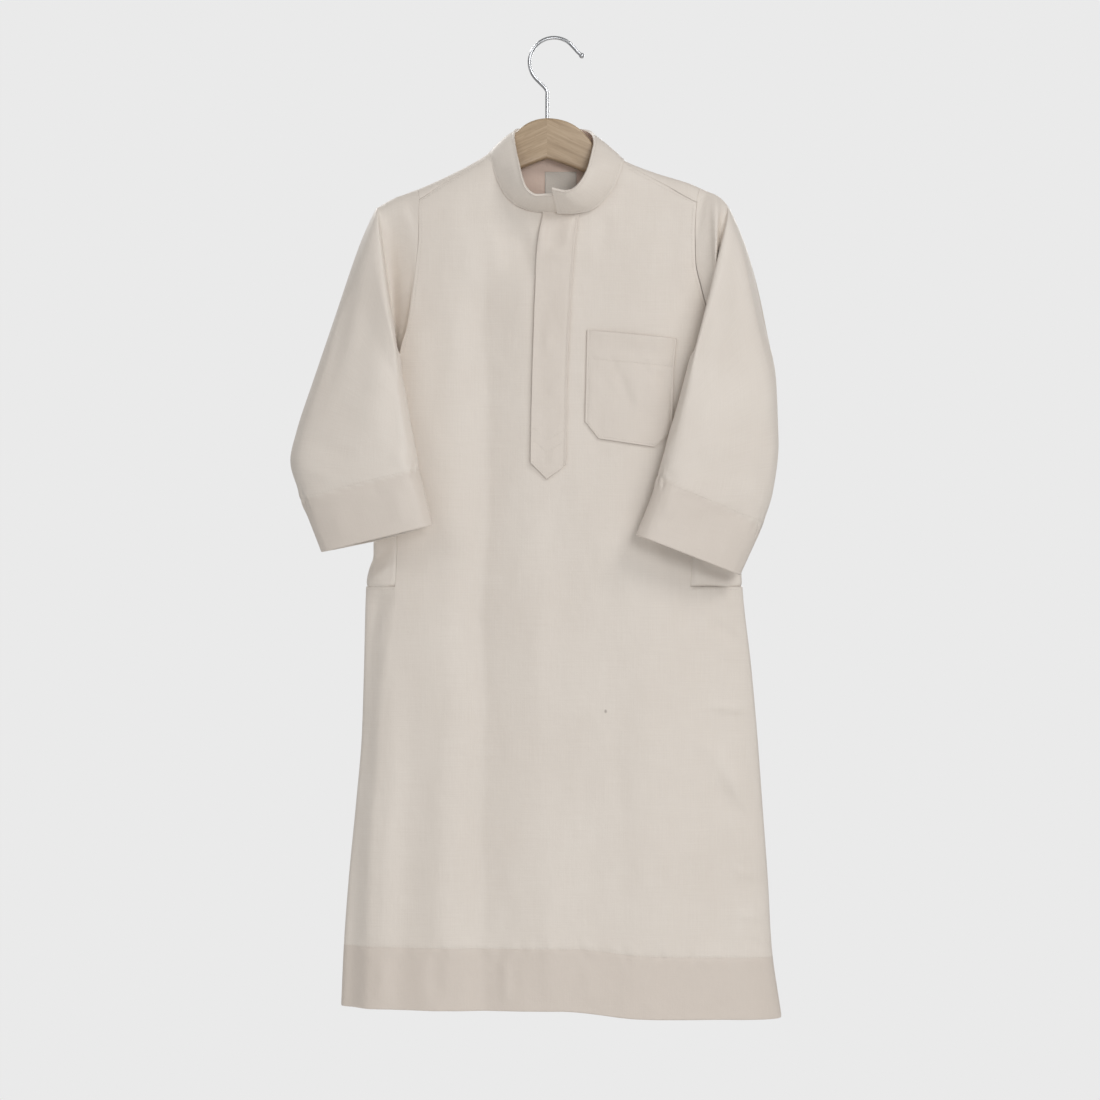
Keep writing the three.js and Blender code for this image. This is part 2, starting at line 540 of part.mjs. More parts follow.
// hanger: two arms from one board, rounded all round, with a bore for the hook's stem
const stemDepth = 19;
function hangerWood() {
  const shape = new THREE.Shape();
  shape.moveTo(stemX, -75);
  shape.bezierCurveTo(20, -75.4, 30, -90, 38, -101);
  shape.bezierCurveTo(46, -110.6, 56, -117, 72, -124.4);
  shape.lineTo(110, -139.4);
  shape.lineTo(142, -151.4);
  shape.bezierCurveTo(158, -158, 163, -166, 158, -173);
  shape.bezierCurveTo(154, -178, 148, -178, 142, -176.6);
  shape.lineTo(92, -156);
  shape.bezierCurveTo(50, -137, 24, -122, stemX, -113.6);
  shape.bezierCurveTo(-32, -122, -56, -134, -94, -152);
  shape.lineTo(-146, -175.4);
  shape.bezierCurveTo(-152, -178, -158, -177.4, -161, -172.6);
  shape.bezierCurveTo(-165, -166, -160, -162.4, -148, -157);
  shape.lineTo(-110, -142.6);
  shape.lineTo(-80, -128.2);
  shape.bezierCurveTo(-66, -120.6, -58, -114.6, -51, -107);
  shape.bezierCurveTo(-41, -97, -34, -76, stemX, -75);
  const round = 4;
  const board = new THREE.ExtrudeGeometry(shape, {
    depth: hangerThickness - 2 * round, bevelThickness: round, bevelSize: round, bevelOffset: -round,
    bevelSegments: 2, curveSegments: 6,
  });
  board.translate(0, 0, -(hangerThickness - 2 * round) / 2);
  board.rotateX(Math.PI / 2);
  const bore = new THREE.CylinderGeometry(wireRadius + seam, wireRadius + seam, stemDepth + 10, 16);
  bore.rotateX(Math.PI / 2);
  bore.translate(stemX, 0, -75 - stemDepth + (stemDepth + 10) / 2);
  return fromSolid(solid(board).subtract(solid(bore)));
}

// hook: one wire, up from the board, over the crest and down to its ball tip
function hangerHook() {
  const centreZ = wireRadius - crestRadius;
  const points = [];
  for (const z of [-75 - stemDepth + 1, -84, -74, -64, -55, -50]) points.push(new THREE.Vector3(stemX, 0, z));
  points.push(new THREE.Vector3(-8.2, 0, -46.6), new THREE.Vector3(-13, 0, -41.6));
  for (let turn = 218; turn >= 38; turn -= 15) {
    const angle = THREE.MathUtils.degToRad(turn);
    points.push(new THREE.Vector3(crestRadius * Math.cos(angle), 0, centreZ + crestRadius * Math.sin(angle)));
  }
  points.push(new THREE.Vector3(22.6, 0, -12), new THREE.Vector3(26.2, 0, -15.2));
  const path = new THREE.CatmullRomCurve3(points, false, 'centripetal');
  const section = new THREE.Shape();
  section.absarc(0, 0, wireRadius, 0, Math.PI * 2);
  const wire = new THREE.ExtrudeGeometry(section, { extrudePath: path, steps: 64, curveSegments: 5 });
  const ball = new THREE.SphereGeometry(2.6, 12, 8);
  ball.translate(26.4, 0, -15.4);
  return fromSolid(solid(wire).add(solid(ball)));
}

const paint = (color, roughness, metalness = 0) => new THREE.MeshStandardMaterial({ color, roughness, metalness });
const ecru = paint(0xd3c9bd, 0.8);
const bare = paint(0xd9d4c8, 0.75);
const beech = paint(0xae9a80, 0.5);
const wire = paint(0xb9bbbd, 0.25, 1);

const thobe = new THREE.Group();
function add(name, geometry, material) {
  const mesh = new THREE.Mesh(geometry, material);
  mesh.name = name;
  thobe.add(mesh);
}

const rightSleeveGrid = sleeveGrid('left', -1, sleeveRight);
const leftSleeveGrid = sleeveGrid('right', 1, sleeveLeft);
const hemGrid = [
  ...front.grid.map((column) => column.slice(chestRows + waistRows)),
  ...[...back.grid].reverse().map((column) => column.slice(chestRows + waistRows)),
];
hemGrid.splice(front.grid.length, 1);
hemGrid.pop();

add('front_panel', wall(front.grid, cloth, { keep: front.keep }), ecru);
add('back_panel', wall(back.grid, cloth, { keep: back.keep }), ecru);
add('yoke', wall(yokeGrid, cloth, { keep: yokeKeep }), ecru);
add('side_panel_right', sidePanel('left', -1), ecru);
add('side_panel_left', sidePanel('right', 1), ecru);
add('sleeve_right', wall(rightSleeveGrid, cloth, { closed: true }), ecru);
add('sleeve_left', wall(leftSleeveGrid, cloth, { closed: true }), ecru);
add('cuff_turnup_right', turnUp(rightSleeveGrid, sleeveRight.length - 1, cuffDepth, { closed: true }), ecru);
add('cuff_turnup_left', turnUp(leftSleeveGrid, sleeveLeft.length - 1, cuffDepth, { closed: true }), ecru);
add('hem_turnup', turnUp(hemGrid, skirtRows - 2, hemDepth, { closed: true }), ecru);
add('collar_band', collar(), ecru);
add('placket', onFront(placketEdges, [{ u: 0, z: -170 }, { u: 1, z: -170 }], placketPoint,
  [0, 0.23, 0.46, 0.7, 0.9, 1], 13, placketCloth, lift), ecru);
add('chest_pocket', onFront(pocketEdges, pocketTop, pocketFoot, [0, 0.16, 0.36, 0.58, 0.8, 1], 6, cloth, lift), ecru);
add('neck_label', neckLabel(), bare);
add('hanger_wood', hangerWood(), beech);
add('hanger_hook', hangerHook(), wire);

export default thobe;
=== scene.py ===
import math
import bmesh
import bpy
import numpy as np
from mathutils import Matrix, Vector


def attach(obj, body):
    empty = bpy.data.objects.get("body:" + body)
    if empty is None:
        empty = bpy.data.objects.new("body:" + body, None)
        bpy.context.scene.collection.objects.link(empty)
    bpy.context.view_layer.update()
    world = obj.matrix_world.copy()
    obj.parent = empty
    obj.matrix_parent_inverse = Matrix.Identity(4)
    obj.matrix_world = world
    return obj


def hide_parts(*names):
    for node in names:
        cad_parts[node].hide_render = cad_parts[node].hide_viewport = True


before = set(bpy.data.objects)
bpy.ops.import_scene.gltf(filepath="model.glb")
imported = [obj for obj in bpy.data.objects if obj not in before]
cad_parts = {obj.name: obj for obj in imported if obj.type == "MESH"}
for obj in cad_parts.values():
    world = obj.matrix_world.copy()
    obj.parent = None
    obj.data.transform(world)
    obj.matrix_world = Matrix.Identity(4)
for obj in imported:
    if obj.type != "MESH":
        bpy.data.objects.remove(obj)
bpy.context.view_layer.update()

mm = 0.001
scene = bpy.context.scene

# lengths are millimetres until a mesh is made; left and right here are seen from the front

garment = {
    "cloth": 1.2, "collarCloth": 2.4, "placketCloth": 1.6, "seam": 0.3, "lift": 0.7,
    "underarmZ": -301, "hipZ": -519.5, "backYokeZ": -185, "shoulderLevel": -150,
    "shoulderRound": 25, "sideFullness": 0.3, "hemDepth": 57, "cuffDepth": 54, "cell": 3.0,
}

outline = [  # z, left edge, right edge, depth in front, depth behind
    (-143, -168, 168, 13, 12), (-200, -163, 165, 18, 15), (-250, -156, 161, 20, 16),
    (-301, -152, 159, 22, 18), (-343, -158, 165, 23, 19), (-438, -167, 174, 26, 21),
    (-485, -171, 177.6, 27, 22), (-520, -178.4, 179, 28, 22), (-598, -180.5, 187.5, 30, 24),
    (-660, -182.5, 193, 32, 26), (-728, -188.3, 198, 34, 27), (-797, -195, 203, 36, 29),
    (-860, -199.6, 206.6, 37, 31), (-925, -202.5, 215.7, 39, 33),
]
sideSeam = [  # z, left, right: armhole seam, then the edge of the side panel
    (-140, -129.2, 138.7), (-153, -128, 135.5), (-186, -128.2, 133.5), (-212, -130.4, 134),
    (-240, -133.8, 140), (-272, -138.6, 148.6), (-301, -146, 153.2), (-400, -147.2, 140),
    (-478, -148.3, 131), (-520, -150.4, 128.8),
]
shoulder = [  # x, shoulder line, front yoke seam
    (-170, -161.5, -175), (-155.5, -152, -166), (-129, -142.4, -153.4), (-108, -133.2, -140),
    (-85, -121.9, -126), (-72, -114.7, -117.4), (-60.8, -107.6, -110.4), (-40, -98, -101),
    (0, -95, -98), (44, -101, -104), (64.2, -113.4, -116.2), (68, -115.8, -119.4),
    (96, -126.8, -135.4), (130, -137.4, -153), (139, -141.4, -157), (156.4, -148.6, -168),
    (168, -161, -180),
]
neckFront = [
    (-60.8, -110.2), (-55.8, -125.4), (-50.4, -140.6), (-39.8, -155.6), (-25.2, -163.8), (-6, -166.8),
    (22, -167.2), (37, -162.4), (50.3, -149.6), (58.4, -134.6), (64.2, -116.2),
]
neckBack = [(-60.8, -107), (-52, -106.6), (-42, -109.4), (0, -112.6), (46, -112.6), (56, -111.6), (64.2, -114)]
hemLine = [(-202, -916), (-60, -917), (20, -917), (90, -924), (215, -927)]

folds = [  # side, top x, top z, foot x, half width left, half width right, rise
    (-1, 88, -400, 92, 62, 46, 4),
    (-1, -128, -540, -146, 24, 34, -4), (-1, 150, -560, 158, 26, 22, -3),
    (1, -96, -240, -108, 40, 34, 5), (1, -24, -220, -30, 30, 34, -4.5), (1, 48, -240, 56, 36, 40, 5),
    (1, 118, -300, 128, 30, 26, -4),
]


def through(rows, value, key=0):
    table = np.array(sorted(rows, key=lambda row: row[key]), float)
    xs, ys = table[:, key], table[:, value]
    slope = np.diff(ys) / np.diff(xs)
    product = slope[:-1] * slope[1:]
    total = np.where(slope[:-1] + slope[1:] == 0, 1, slope[:-1] + slope[1:])
    inner = np.where(product <= 0, 0, 2 * product / total)
    tangent = np.concatenate([[slope[0]], inner, [slope[-1]]])

    def at(x):
        x = np.clip(np.asarray(x, float), xs[0], xs[-1])
        i = np.clip(np.searchsorted(xs, x) - 1, 0, len(xs) - 2)
        h = xs[i + 1] - xs[i]
        t = (x - xs[i]) / h
        near = t * (1 - t) ** 2 * h * tangent[i]
        far = t * t * (t - 1) * h * tangent[i + 1]
        return ys[i] + (ys[i + 1] - ys[i]) * t * t * (3 - 2 * t) + near + far
    return at


sideX = {-1: through(outline, 1), 1: through(outline, 2)}
depthAt = {-1: through(outline, 3), 1: through(outline, 4)}
seamX = {-1: through(sideSeam, 1), 1: through(sideSeam, 2)}
ridgeZ, yokeFrontZ = through(shoulder, 1), through(shoulder, 2)
neckFrontZ, neckBackZ, hemZ = through(neckFront, 1), through(neckBack, 1), through(hemLine, 1)
neckLeft, neckRight = neckFront[0][0], neckFront[-1][0]


def lerp(a, b, t):
    return a + (b - a) * t


def smooth(t):
    t = np.clip(t, 0, 1)
    return t * t * (3 - 2 * t)


def bump(t):
    return np.where(np.abs(t) < 1, np.cos(np.clip(t, -1, 1) * math.pi / 2) ** 2, 0)


def noise(x, y, seed, period=64):  # smooth lattice noise, -1 to 1
    lattice = np.random.RandomState(seed).rand(period, period) * 2 - 1
    i, j = np.floor(x).astype(int), np.floor(y).astype(int)
    s, t = smooth(x - i), smooth(y - j)
    corner = [[lattice[(i + a) % period, (j + b) % period] for b in (0, 1)] for a in (0, 1)]
    return lerp(lerp(corner[0][0], corner[1][0], s), lerp(corner[0][1], corner[1][1], s), t)


def formY(side, x, z):
    left, right = sideX[-1](z), sideX[1](z)
    across = np.clip((2 * x - left - right) / (right - left), -1, 1)
    below = np.clip((ridgeZ(x) - z) / garment["shoulderRound"], 0, 1)
    arch = np.sqrt(1 - (1 - below) ** 2)
    depth = depthAt[side](z)
    for foldSide, topX, topZ, footX, wideLeft, wideRight, rise in folds:
        if foldSide == side:
            run = (topZ - z) / (topZ + 925)
            offset = x - lerp(topX, footX, np.clip(run, 0, 1))
            depth = depth + rise * bump(offset / np.where(offset < 0, wideLeft, wideRight)) * smooth((topZ - z) / 140)
    return side * depth * (1 - across * across) ** garment["sideFullness"] * arch


def crease(x, z, mark):  # a soft trough or ridge along a line, tapered at both ends
    x0, z0, x1, z1, width, rise = mark
    dx, dz = x1 - x0, z1 - z0
    length = math.hypot(dx, dz)
    along = ((x - x0) * dx + (z - z0) * dz) / length
    away = ((x - x0) * dz - (z - z0) * dx) / length
    taper = smooth(along / (0.35 * length)) * smooth((length - along) / (0.35 * length))
    return rise * np.exp(-(away / width) ** 2) * taper


frontCreases = [  # from x, z to x, z, half width, rise
    (-52, -168, -38, -232, 9, -1.6), (-30, -178, -24, -236, 7, -1.4), (50, -162, 44, -214, 9, -1.2),
    (-96, -160, -70, -250, 14, 1.2), (96, -170, 76, -262, 16, 1.0),
    (-46, -860, -46, -918, 5, 1.4), (-111, -850, -111, -918, 7, -1.5),
    (-20, -420, -14, -700, 14, 0.9), (30, -420, 36, -760, 18, 1.1), (60, -560, 70, -900, 15, -1.2),
    (118, -520, 130, -900, 20, 1.4), (150, -520, 186, -560, 7, 2.0), (142, -548, 188, -582, 6, -1.9),
    (140, -632, 194, -637, 4, 1.8), (122, -643, 193, -734, 9, 2.0), (150, -700, 200, -770, 8, -1.7),
    (164, -786, 206, -796, 5, 1.7), (168, -826, 208, -836, 4, 1.5), (176, -850, 212, -866, 4, -1.4), (156, -500, 178, -560, 7, -1.5),
    (-156, -530, -174, -590, 6, 1.2), (-172, -640, -182, -700, 5, -1.2), (-174, -655, -184, -664, 5, -1.3), (-120, -520, -132, -720, 16, 1.0), (-100, -700, -112, -900, 14, 0.9),
    (20, -440, 90, -560, 14, 0.8), (-8, -760, -4, -910, 12, 1.0), (150, -850, 158, -920, 9, 1.2),
    (100, -860, 102, -922, 8, -0.9), (30, -866, 34, -918, 9, 1.0), (-160, -866, -162, -916, 7, 1.1),
]
backCreases = [
    (-90, -190, -60, -330, 12, 1.4), (70, -190, 50, -320, 12, 1.3), (-20, -200, -26, -420, 9, -1.4),
    (-110, -300, -120, -620, 14, 1.3), (96, -320, 110, -700, 14, -1.2), (20, -420, 26, -800, 12, 1.2),
    (-60, -560, -66, -900, 10, -1.4), (140, -540, 180, -600, 8, 1.2), (-140, -560, -176, -640, 8, 1.2),
    (150, -700, 190, -780, 9, -1.1), (-150, -720, -188, -800, 9, -1.2), (-10, -860, -8, -915, 8, 1.1),
    (60, -866, 64, -920, 8, -1.0), (120, -862, 122, -922, 7, 1.0), (-120, -862, -122, -915, 7, 1.0),
]


def hemPucker(x, z, line, depth=0.75):  # small gathers along a stitched line
    gather = noise(x / 9, z / 26, 11) + 0.8 * noise(x / 5.5 + z / 14, z / 20, 12)
    return depth * gather * np.exp(-((z - line) / 9) ** 2) - 0.6 * np.exp(-((z - line) / 1.6) ** 2)


def bodyRelief(side, x, z):
    total = np.zeros(np.broadcast(x, z).shape)
    for mark in (frontCreases if side < 0 else backCreases):
        total = total + crease(x, z, mark)
    seed = 20 + side
    calm = smooth((ridgeZ(x) - z - 4) / 40)
    waves = 0.55 * noise(x / 34 + z / 190, z / 95, seed) + 0.34 * noise(x / 15 - z / 120, z / 42, seed + 2)
    waves = waves + 0.16 * noise(x / 7, z / 12, seed + 4)
    if side < 0:
        total = total - 2.6 * np.exp(-((x + 35 + (z + 192) * 0.25) / 12) ** 2 - ((z + 190) / 24) ** 2)
        total = total + mainFold(x, z) - 0.7 * np.exp(-((yokeFrontZ(x) - z) / 1.8) ** 2)
    total = total + waves * calm + hemPucker(x + 40 * side, z, hemZ(x) + garment["hemDepth"])
    hemBand = smooth((hemZ(x) + garment["hemDepth"] - z) / 4)
    return total + hemBand * (0.35 + 0.35 * noise(x / 16, z / 60, seed + 6))


def mainFold(x, z):  # a trough with a crisp line, steeper on its left
    u = x + 64 - 3 * noise(z / 90, z * 0, 81)
    wide = 44 + 18 * smooth((-400 - z) / 400)
    left = np.exp(-(np.minimum(u, 0) / 22) ** 2)
    right = (1 - np.clip(u / wide, 0, 1)) ** 1.7
    return -6.0 * np.where(u < 0, left, right) * smooth((-176 - z) / 110)


# mask for the painted shade of the doubled hem band: 1 below the hem stitching
def hemShadeMask(x, z):
    return smooth((hemZ(x) + garment["hemDepth"] - z + 0.6) / 1.2)


turnLine = {-1: [(-523, -151), (-643, -166), (-695, -168), (-745, -173), (-917, -178)],
            1: [(-523, 150), (-575, 166), (-640, 176), (-740, 184), (-917, 199)]}
turnX = {end: through(rows, 1) for end, rows in turnLine.items()}


def sideTurn(x, z):  # the skirt turns away past a line near each side
    left = smooth((turnX[-1](z) + 3 - x) / 20) * 0.42
    right = smooth((x - turnX[1](z) + 3) / 26) * 0.12
    return 1 - (left + right) * smooth((-512 - z) / 24)


def bodyY(side, x, z):
    left, right = sideX[-1](z), sideX[1](z)
    across = np.clip((2 * x - left - right) / (right - left), -1, 1)
    edge = np.clip((1 - across * across) * 6, 0, 1)
    arch = np.clip((ridgeZ(x) - z) / 12, 0, 1)
    form = formY(side, x, z) * (sideTurn(x, z) if side < 0 else 1)
    return form + side * bodyRelief(side, x, z) * edge * arch

# ---------------------------------------------------------------- meshes from grids


def gridNormals(points, closed=False):
    if closed:
        du = np.roll(points, -1, 0) - np.roll(points, 1, 0)
    else:
        du = np.gradient(points, axis=0)
    dv = np.gradient(points, axis=1)
    normal = np.cross(du, dv)
    return normal / np.maximum(np.linalg.norm(normal, axis=2, keepdims=True), 1e-9)


def tuck(points, axis, end, on=0.9, under=1.35, outward=None):  # continues an edge under its neighbour
    normal = gridNormals(points)
    if outward is not None:
        normal = normal * outward
    grid, normal = (points, normal) if axis == 0 else (points.swapaxes(0, 1), normal.swapaxes(0, 1))
    edge, inner = (0, 2) if end < 0 else (-1, -3)
    ahead = grid[edge] - grid[inner]
    ahead = ahead / np.maximum(np.linalg.norm(ahead, axis=1, keepdims=True), 1e-9)
    rows = [grid[edge] + ahead * on * a - normal[edge] * under * b for a, b in ((0.35, 0.25), (0.6, 0.8), (1, 1))]
    grid = np.concatenate([rows[::-1], grid] if end < 0 else [grid, rows])
    return grid if axis == 0 else grid.swapaxes(0, 1)


def curl(points, radius=1.25, outward=1):  # the last row rolls under, as a folded edge does
    normal = gridNormals(points)[:, -1] * outward
    ahead = points[:, -1] - points[:, -2]
    ahead = ahead / np.maximum(np.linalg.norm(ahead, axis=1, keepdims=True), 1e-9)
    rows = [points[:, -1] + ahead * radius * math.sin(a) - normal * radius * (1 - math.cos(a))
            for a in np.radians([28, 58, 90, 122, 152, 178])]
    return np.concatenate([points, np.stack(rows, 1)], 1)


def shell(name, points, facing, material, thickness, closed=False, keep=None, uv=None, offset=-1.0, slot="cloth",
          layers=None, paintInsideShade=True):
    if closed:
        points = np.concatenate([points, points[:1]])
    columns, rows = points.shape[:2]
    mesh = bpy.data.meshes.new(name)
    work = bmesh.new()
    bmesh.ops.create_grid(work, x_segments=columns - 1, y_segments=rows - 1, size=1)
    flat = np.array([v.co[:2] for v in work.verts])
    i = np.rint((flat[:, 0] + 1) / 2 * (columns - 1)).astype(int)
    j = np.rint((flat[:, 1] + 1) / 2 * (rows - 1)).astype(int)
    if uv is None:
        steps = np.linalg.norm(np.diff(points, axis=0), axis=2).mean(1)
        drops = np.linalg.norm(np.diff(points, axis=1), axis=2).mean(0)
        uv = np.stack(np.meshgrid(np.concatenate([[0], steps.cumsum()]),
                                  np.concatenate([[0], drops.cumsum()]), indexing="ij"), 2)
    uvLayer = work.loops.layers.uv.new("UVMap")
    # the layers attribute carries the mask for the painted shade of doubled cloth
    layerShade = work.verts.layers.float.new("layers")
    work.verts.ensure_lookup_table()
    if layers is not None:
        layers = np.concatenate([layers, layers[:1]]) if closed else layers
        for vert, value in zip(work.verts, layers[i, j]):
            vert[layerShade] = value
    places = points[i, j] * mm
    maps = uv[i, j] * mm
    doomed = []
    for face in work.faces:
        for loop in face.loops:
            loop[uvLayer].uv = maps[loop.vert.index]
        if keep is not None:
            ids = [v.index for v in face.verts]
            if not keep[i[ids].min(), j[ids].min()]:
                doomed.append(face)
    for vert, place in zip(work.verts, places):
        vert.co = place
    if doomed:
        bmesh.ops.delete(work, geom=doomed, context="FACES")
    if closed:
        bmesh.ops.remove_doubles(work, verts=work.verts, dist=1e-6)
    if facing < 0:
        bmesh.ops.reverse_faces(work, faces=work.faces)
    work.to_mesh(mesh)
    work.free()
    mesh.shade_smooth()
    piece = bpy.data.objects.new(name, mesh)
    scene.collection.objects.link(piece)
    if thickness:
        solid = piece.modifiers.new("thickness", "SOLIDIFY")
        solid.thickness = thickness * mm
        solid.offset = offset
        solid.use_quality_normals = True
    mesh.materials.append(material)
    # the inside faces get a second material: a pinker, darker painted shade for the cloth's inner side
    if thickness and paintInsideShade and slot == "cloth":
        mesh.materials.append(insideShadeCloth)
        solid.material_offset = 1
    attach(piece, "root")
    return piece


def steps(start, end, size, edge=True):  # even steps with closer ones at both ends
    count = max(2, int(round(abs(end - start) / size)))
    inner = np.linspace(start, end, count + 1)
    if not edge:
        return inner
    sign = np.sign(end - start)
    near = start + sign * np.array([0.5, 1.3])
    far = end - sign * np.array([1.3, 0.5])
    return np.concatenate([[start], near, inner[1:-1], far, [end]])

# ---------------------------------------------------------------- materials


class Sock:  # a socket with arithmetic
    def __init__(self, graph, link):
        self.graph = graph
        self.link = link

    def math(self, operation, first, second):
        return self.graph.node("ShaderNodeMath", {"operation": operation}, {0: first, 1: second})

    def __add__(self, other):
        return self.math("ADD", self, other)

    def __sub__(self, other):
        return self.math("SUBTRACT", self, other)

    def __rsub__(self, other):
        return self.math("SUBTRACT", other, self)

    def __mul__(self, other):
        return self.math("MULTIPLY", self, other)

    def __pow__(self, other):
        return self.math("POWER", self, other)

    __radd__ = __add__
    __rmul__ = __mul__


class Graph:
    def __init__(self, name, base, roughness, metallic=0.0, **fixed):
        self.material = bpy.data.materials.new(name)
        self.material.use_nodes = True
        self.tree = self.material.node_tree
        self.shader = self.tree.nodes["Principled BSDF"]
        self.shader.inputs["Base Color"].default_value = (*base, 1)
        self.shader.inputs["Roughness"].default_value = roughness
        self.shader.inputs["Metallic"].default_value = metallic
        for socket, value in fixed.items():
            self.shader.inputs[socket.replace("_", " ")].default_value = value

    def put(self, socket, value):
        if isinstance(value, Sock):
            self.tree.links.new(value.link, socket)
        else:
            socket.default_value = value

    def node(self, kind, settings=None, values=None, out=0):
        node = self.tree.nodes.new(kind)
        for key, value in (settings or {}).items():
            if key == "stops":
                while len(node.color_ramp.elements) < len(value):
                    node.color_ramp.elements.new(0.5)
                for element, (place, colour) in zip(node.color_ramp.elements, value):
                    element.position = place
                    element.color = colour if len(colour) == 4 else (*colour, 1)
            else:
                setattr(node, key, value)
        for key, value in (values or {}).items():
            self.put(node.inputs[key], value)
        return Sock(self, node.outputs[out])

    def coords(self, which="Object"):
        return self.node("ShaderNodeTexCoord", out=which)

    def scaled(self, vector, scale, turn=(0, 0, 0)):
        return self.node("ShaderNodeMapping", None, {"Vector": vector, "Scale": scale, "Rotation": turn})

    def noise(self, vector, scale, detail=2.0, roughness=0.5):
        return self.node("ShaderNodeTexNoise", None,
                         {"Vector": vector, "Scale": scale, "Detail": detail, "Roughness": roughness})

    def mix(self, factor, first, second, blend="MIX"):
        return self.node("ShaderNodeMix", {"data_type": "RGBA", "blend_type": blend},
                         {0: factor, 6: first, 7: second}, out=2)

    def bump(self, height, strength, distance, normal=None):
        values = {"Height": height, "Strength": strength, "Distance": distance}
        if normal is not None:
            values["Normal"] = normal
        return self.node("ShaderNodeBump", None, values)

    def feed(self, socket, value):
        self.put(self.shader.inputs[socket], value)


# the doubled-layer colour is painted shade: cloth lying in two layers (hem band, cuffs, placket, pocket) is drawn
# darker to stand in for less light showing through it
clothLook = {"base": (0.765, 0.705, 0.640), "shade": (0.700, 0.632, 0.565), "thread": 0.00042, "rough": 0.5,
             "sheen": 0.15, "layerShade": (0.640, 0.565, 0.500)}


def clothMaterial(name, tint=1.0, weave=0.10, speck=False):
    base, shade, layerShade = (tuple(np.multiply(clothLook[key], tint)) for key in ("base", "shade", "layerShade"))
    g = Graph(name, base, clothLook["rough"], Sheen_Weight=clothLook["sheen"], Sheen_Roughness=0.45,
              Specular_IOR_Level=0.5)
    uv = g.coords("UV")
    warp = g.noise(g.scaled(uv, (1500, 26, 1)), 1.0, 3.0, 0.6)
    weft = g.noise(g.scaled(uv, (26, 1500, 1)), 1.0, 3.0, 0.6)
    cloudy = g.noise(g.coords(), 9.0, 3.0, 0.6)
    mottle = (warp + weft) * 0.34 + cloudy * 0.4
    tone = g.node("ShaderNodeMapRange", None, {0: mottle, 1: 0.38, 2: 0.72, 3: 0.0, 4: 1.0})
    colour = g.mix(tone, (*shade, 1), (*base, 1))
    # painted shade: where the layers attribute is set, the colour moves toward the darker doubled-layer tone
    layers = g.node("ShaderNodeAttribute", {"attribute_name": "layers"}, out="Fac")
    colour = g.mix(layers * 0.8, colour, (*layerShade, 1))
    if speck:
        away = g.node("ShaderNodeVectorMath", {"operation": "DISTANCE"},
                      {0: g.scaled(g.coords(), (1, 0, 0.72)), 1: (0.0485, 0, -0.6366 * 0.72)}, out="Value")
        stain = g.node("ShaderNodeMapRange", None, {0: away, 1: 0.0006, 2: 0.0016, 3: 0.5, 4: 0.0})
        colour = g.mix(stain, colour, (0.16, 0.12, 0.10, 1))
    g.feed("Base Color", colour)
    turns = math.pi / clothLook["thread"]
    place = g.node("ShaderNodeSeparateXYZ", None, {0: uv}, out=0)
    other = Sock(g, place.link.node.outputs[1])
    across = g.node("ShaderNodeMath", {"operation": "SINE"}, {0: place * turns})
    down = g.node("ShaderNodeMath", {"operation": "SINE"}, {0: other * turns})
    weaveHeight = across * down
    fine = g.bump(weaveHeight, weave, 0.00025)
    crumple = g.noise(g.coords(), 130.0, 4.0, 0.6)
    g.feed("Normal", g.bump(crumple + (warp + weft) * 0.35, 0.22, 0.0010, fine))
    return g.material


cloth = clothMaterial("ecruCloth")
frontCloth = clothMaterial("ecruClothFront", speck=True)
bandCloth = clothMaterial("ecruClothInterfaced", 1.01)
stitchLook = clothMaterial("ecruThread", 0.93, 0.0)
# painted shade: the inside of the cloth is tinted pinker and darker to stand in for the shadow and warm bounce light
# inside the garment
insideShadeCloth = clothMaterial("ecruClothInsidePaintedShade", (0.97, 0.84, 0.79), 0.05)
insideShadeCloth.node_tree.nodes["Principled BSDF"].inputs["Sheen Weight"].default_value = 0.1


def labelMaterial():
    g = Graph("bareLabel", (0.70, 0.66, 0.60), 0.7, Sheen_Weight=0.2)
    uv = g.coords("UV")
    rib = g.node("ShaderNodeMath", {"operation": "SINE"},
                 {0: g.node("ShaderNodeSeparateXYZ", None, {0: uv}, out=1) * (2 * math.pi / 0.0007)})
    fleck = g.noise(g.scaled(uv, (900, 900, 1)), 1.0, 2.0)
    g.feed("Base Color", g.mix(fleck, (0.62, 0.58, 0.52, 1), (0.74, 0.70, 0.64, 1)))
    g.feed("Normal", g.bump(rib, 0.3, 0.0002))
    return g.material


stemX = -6.6


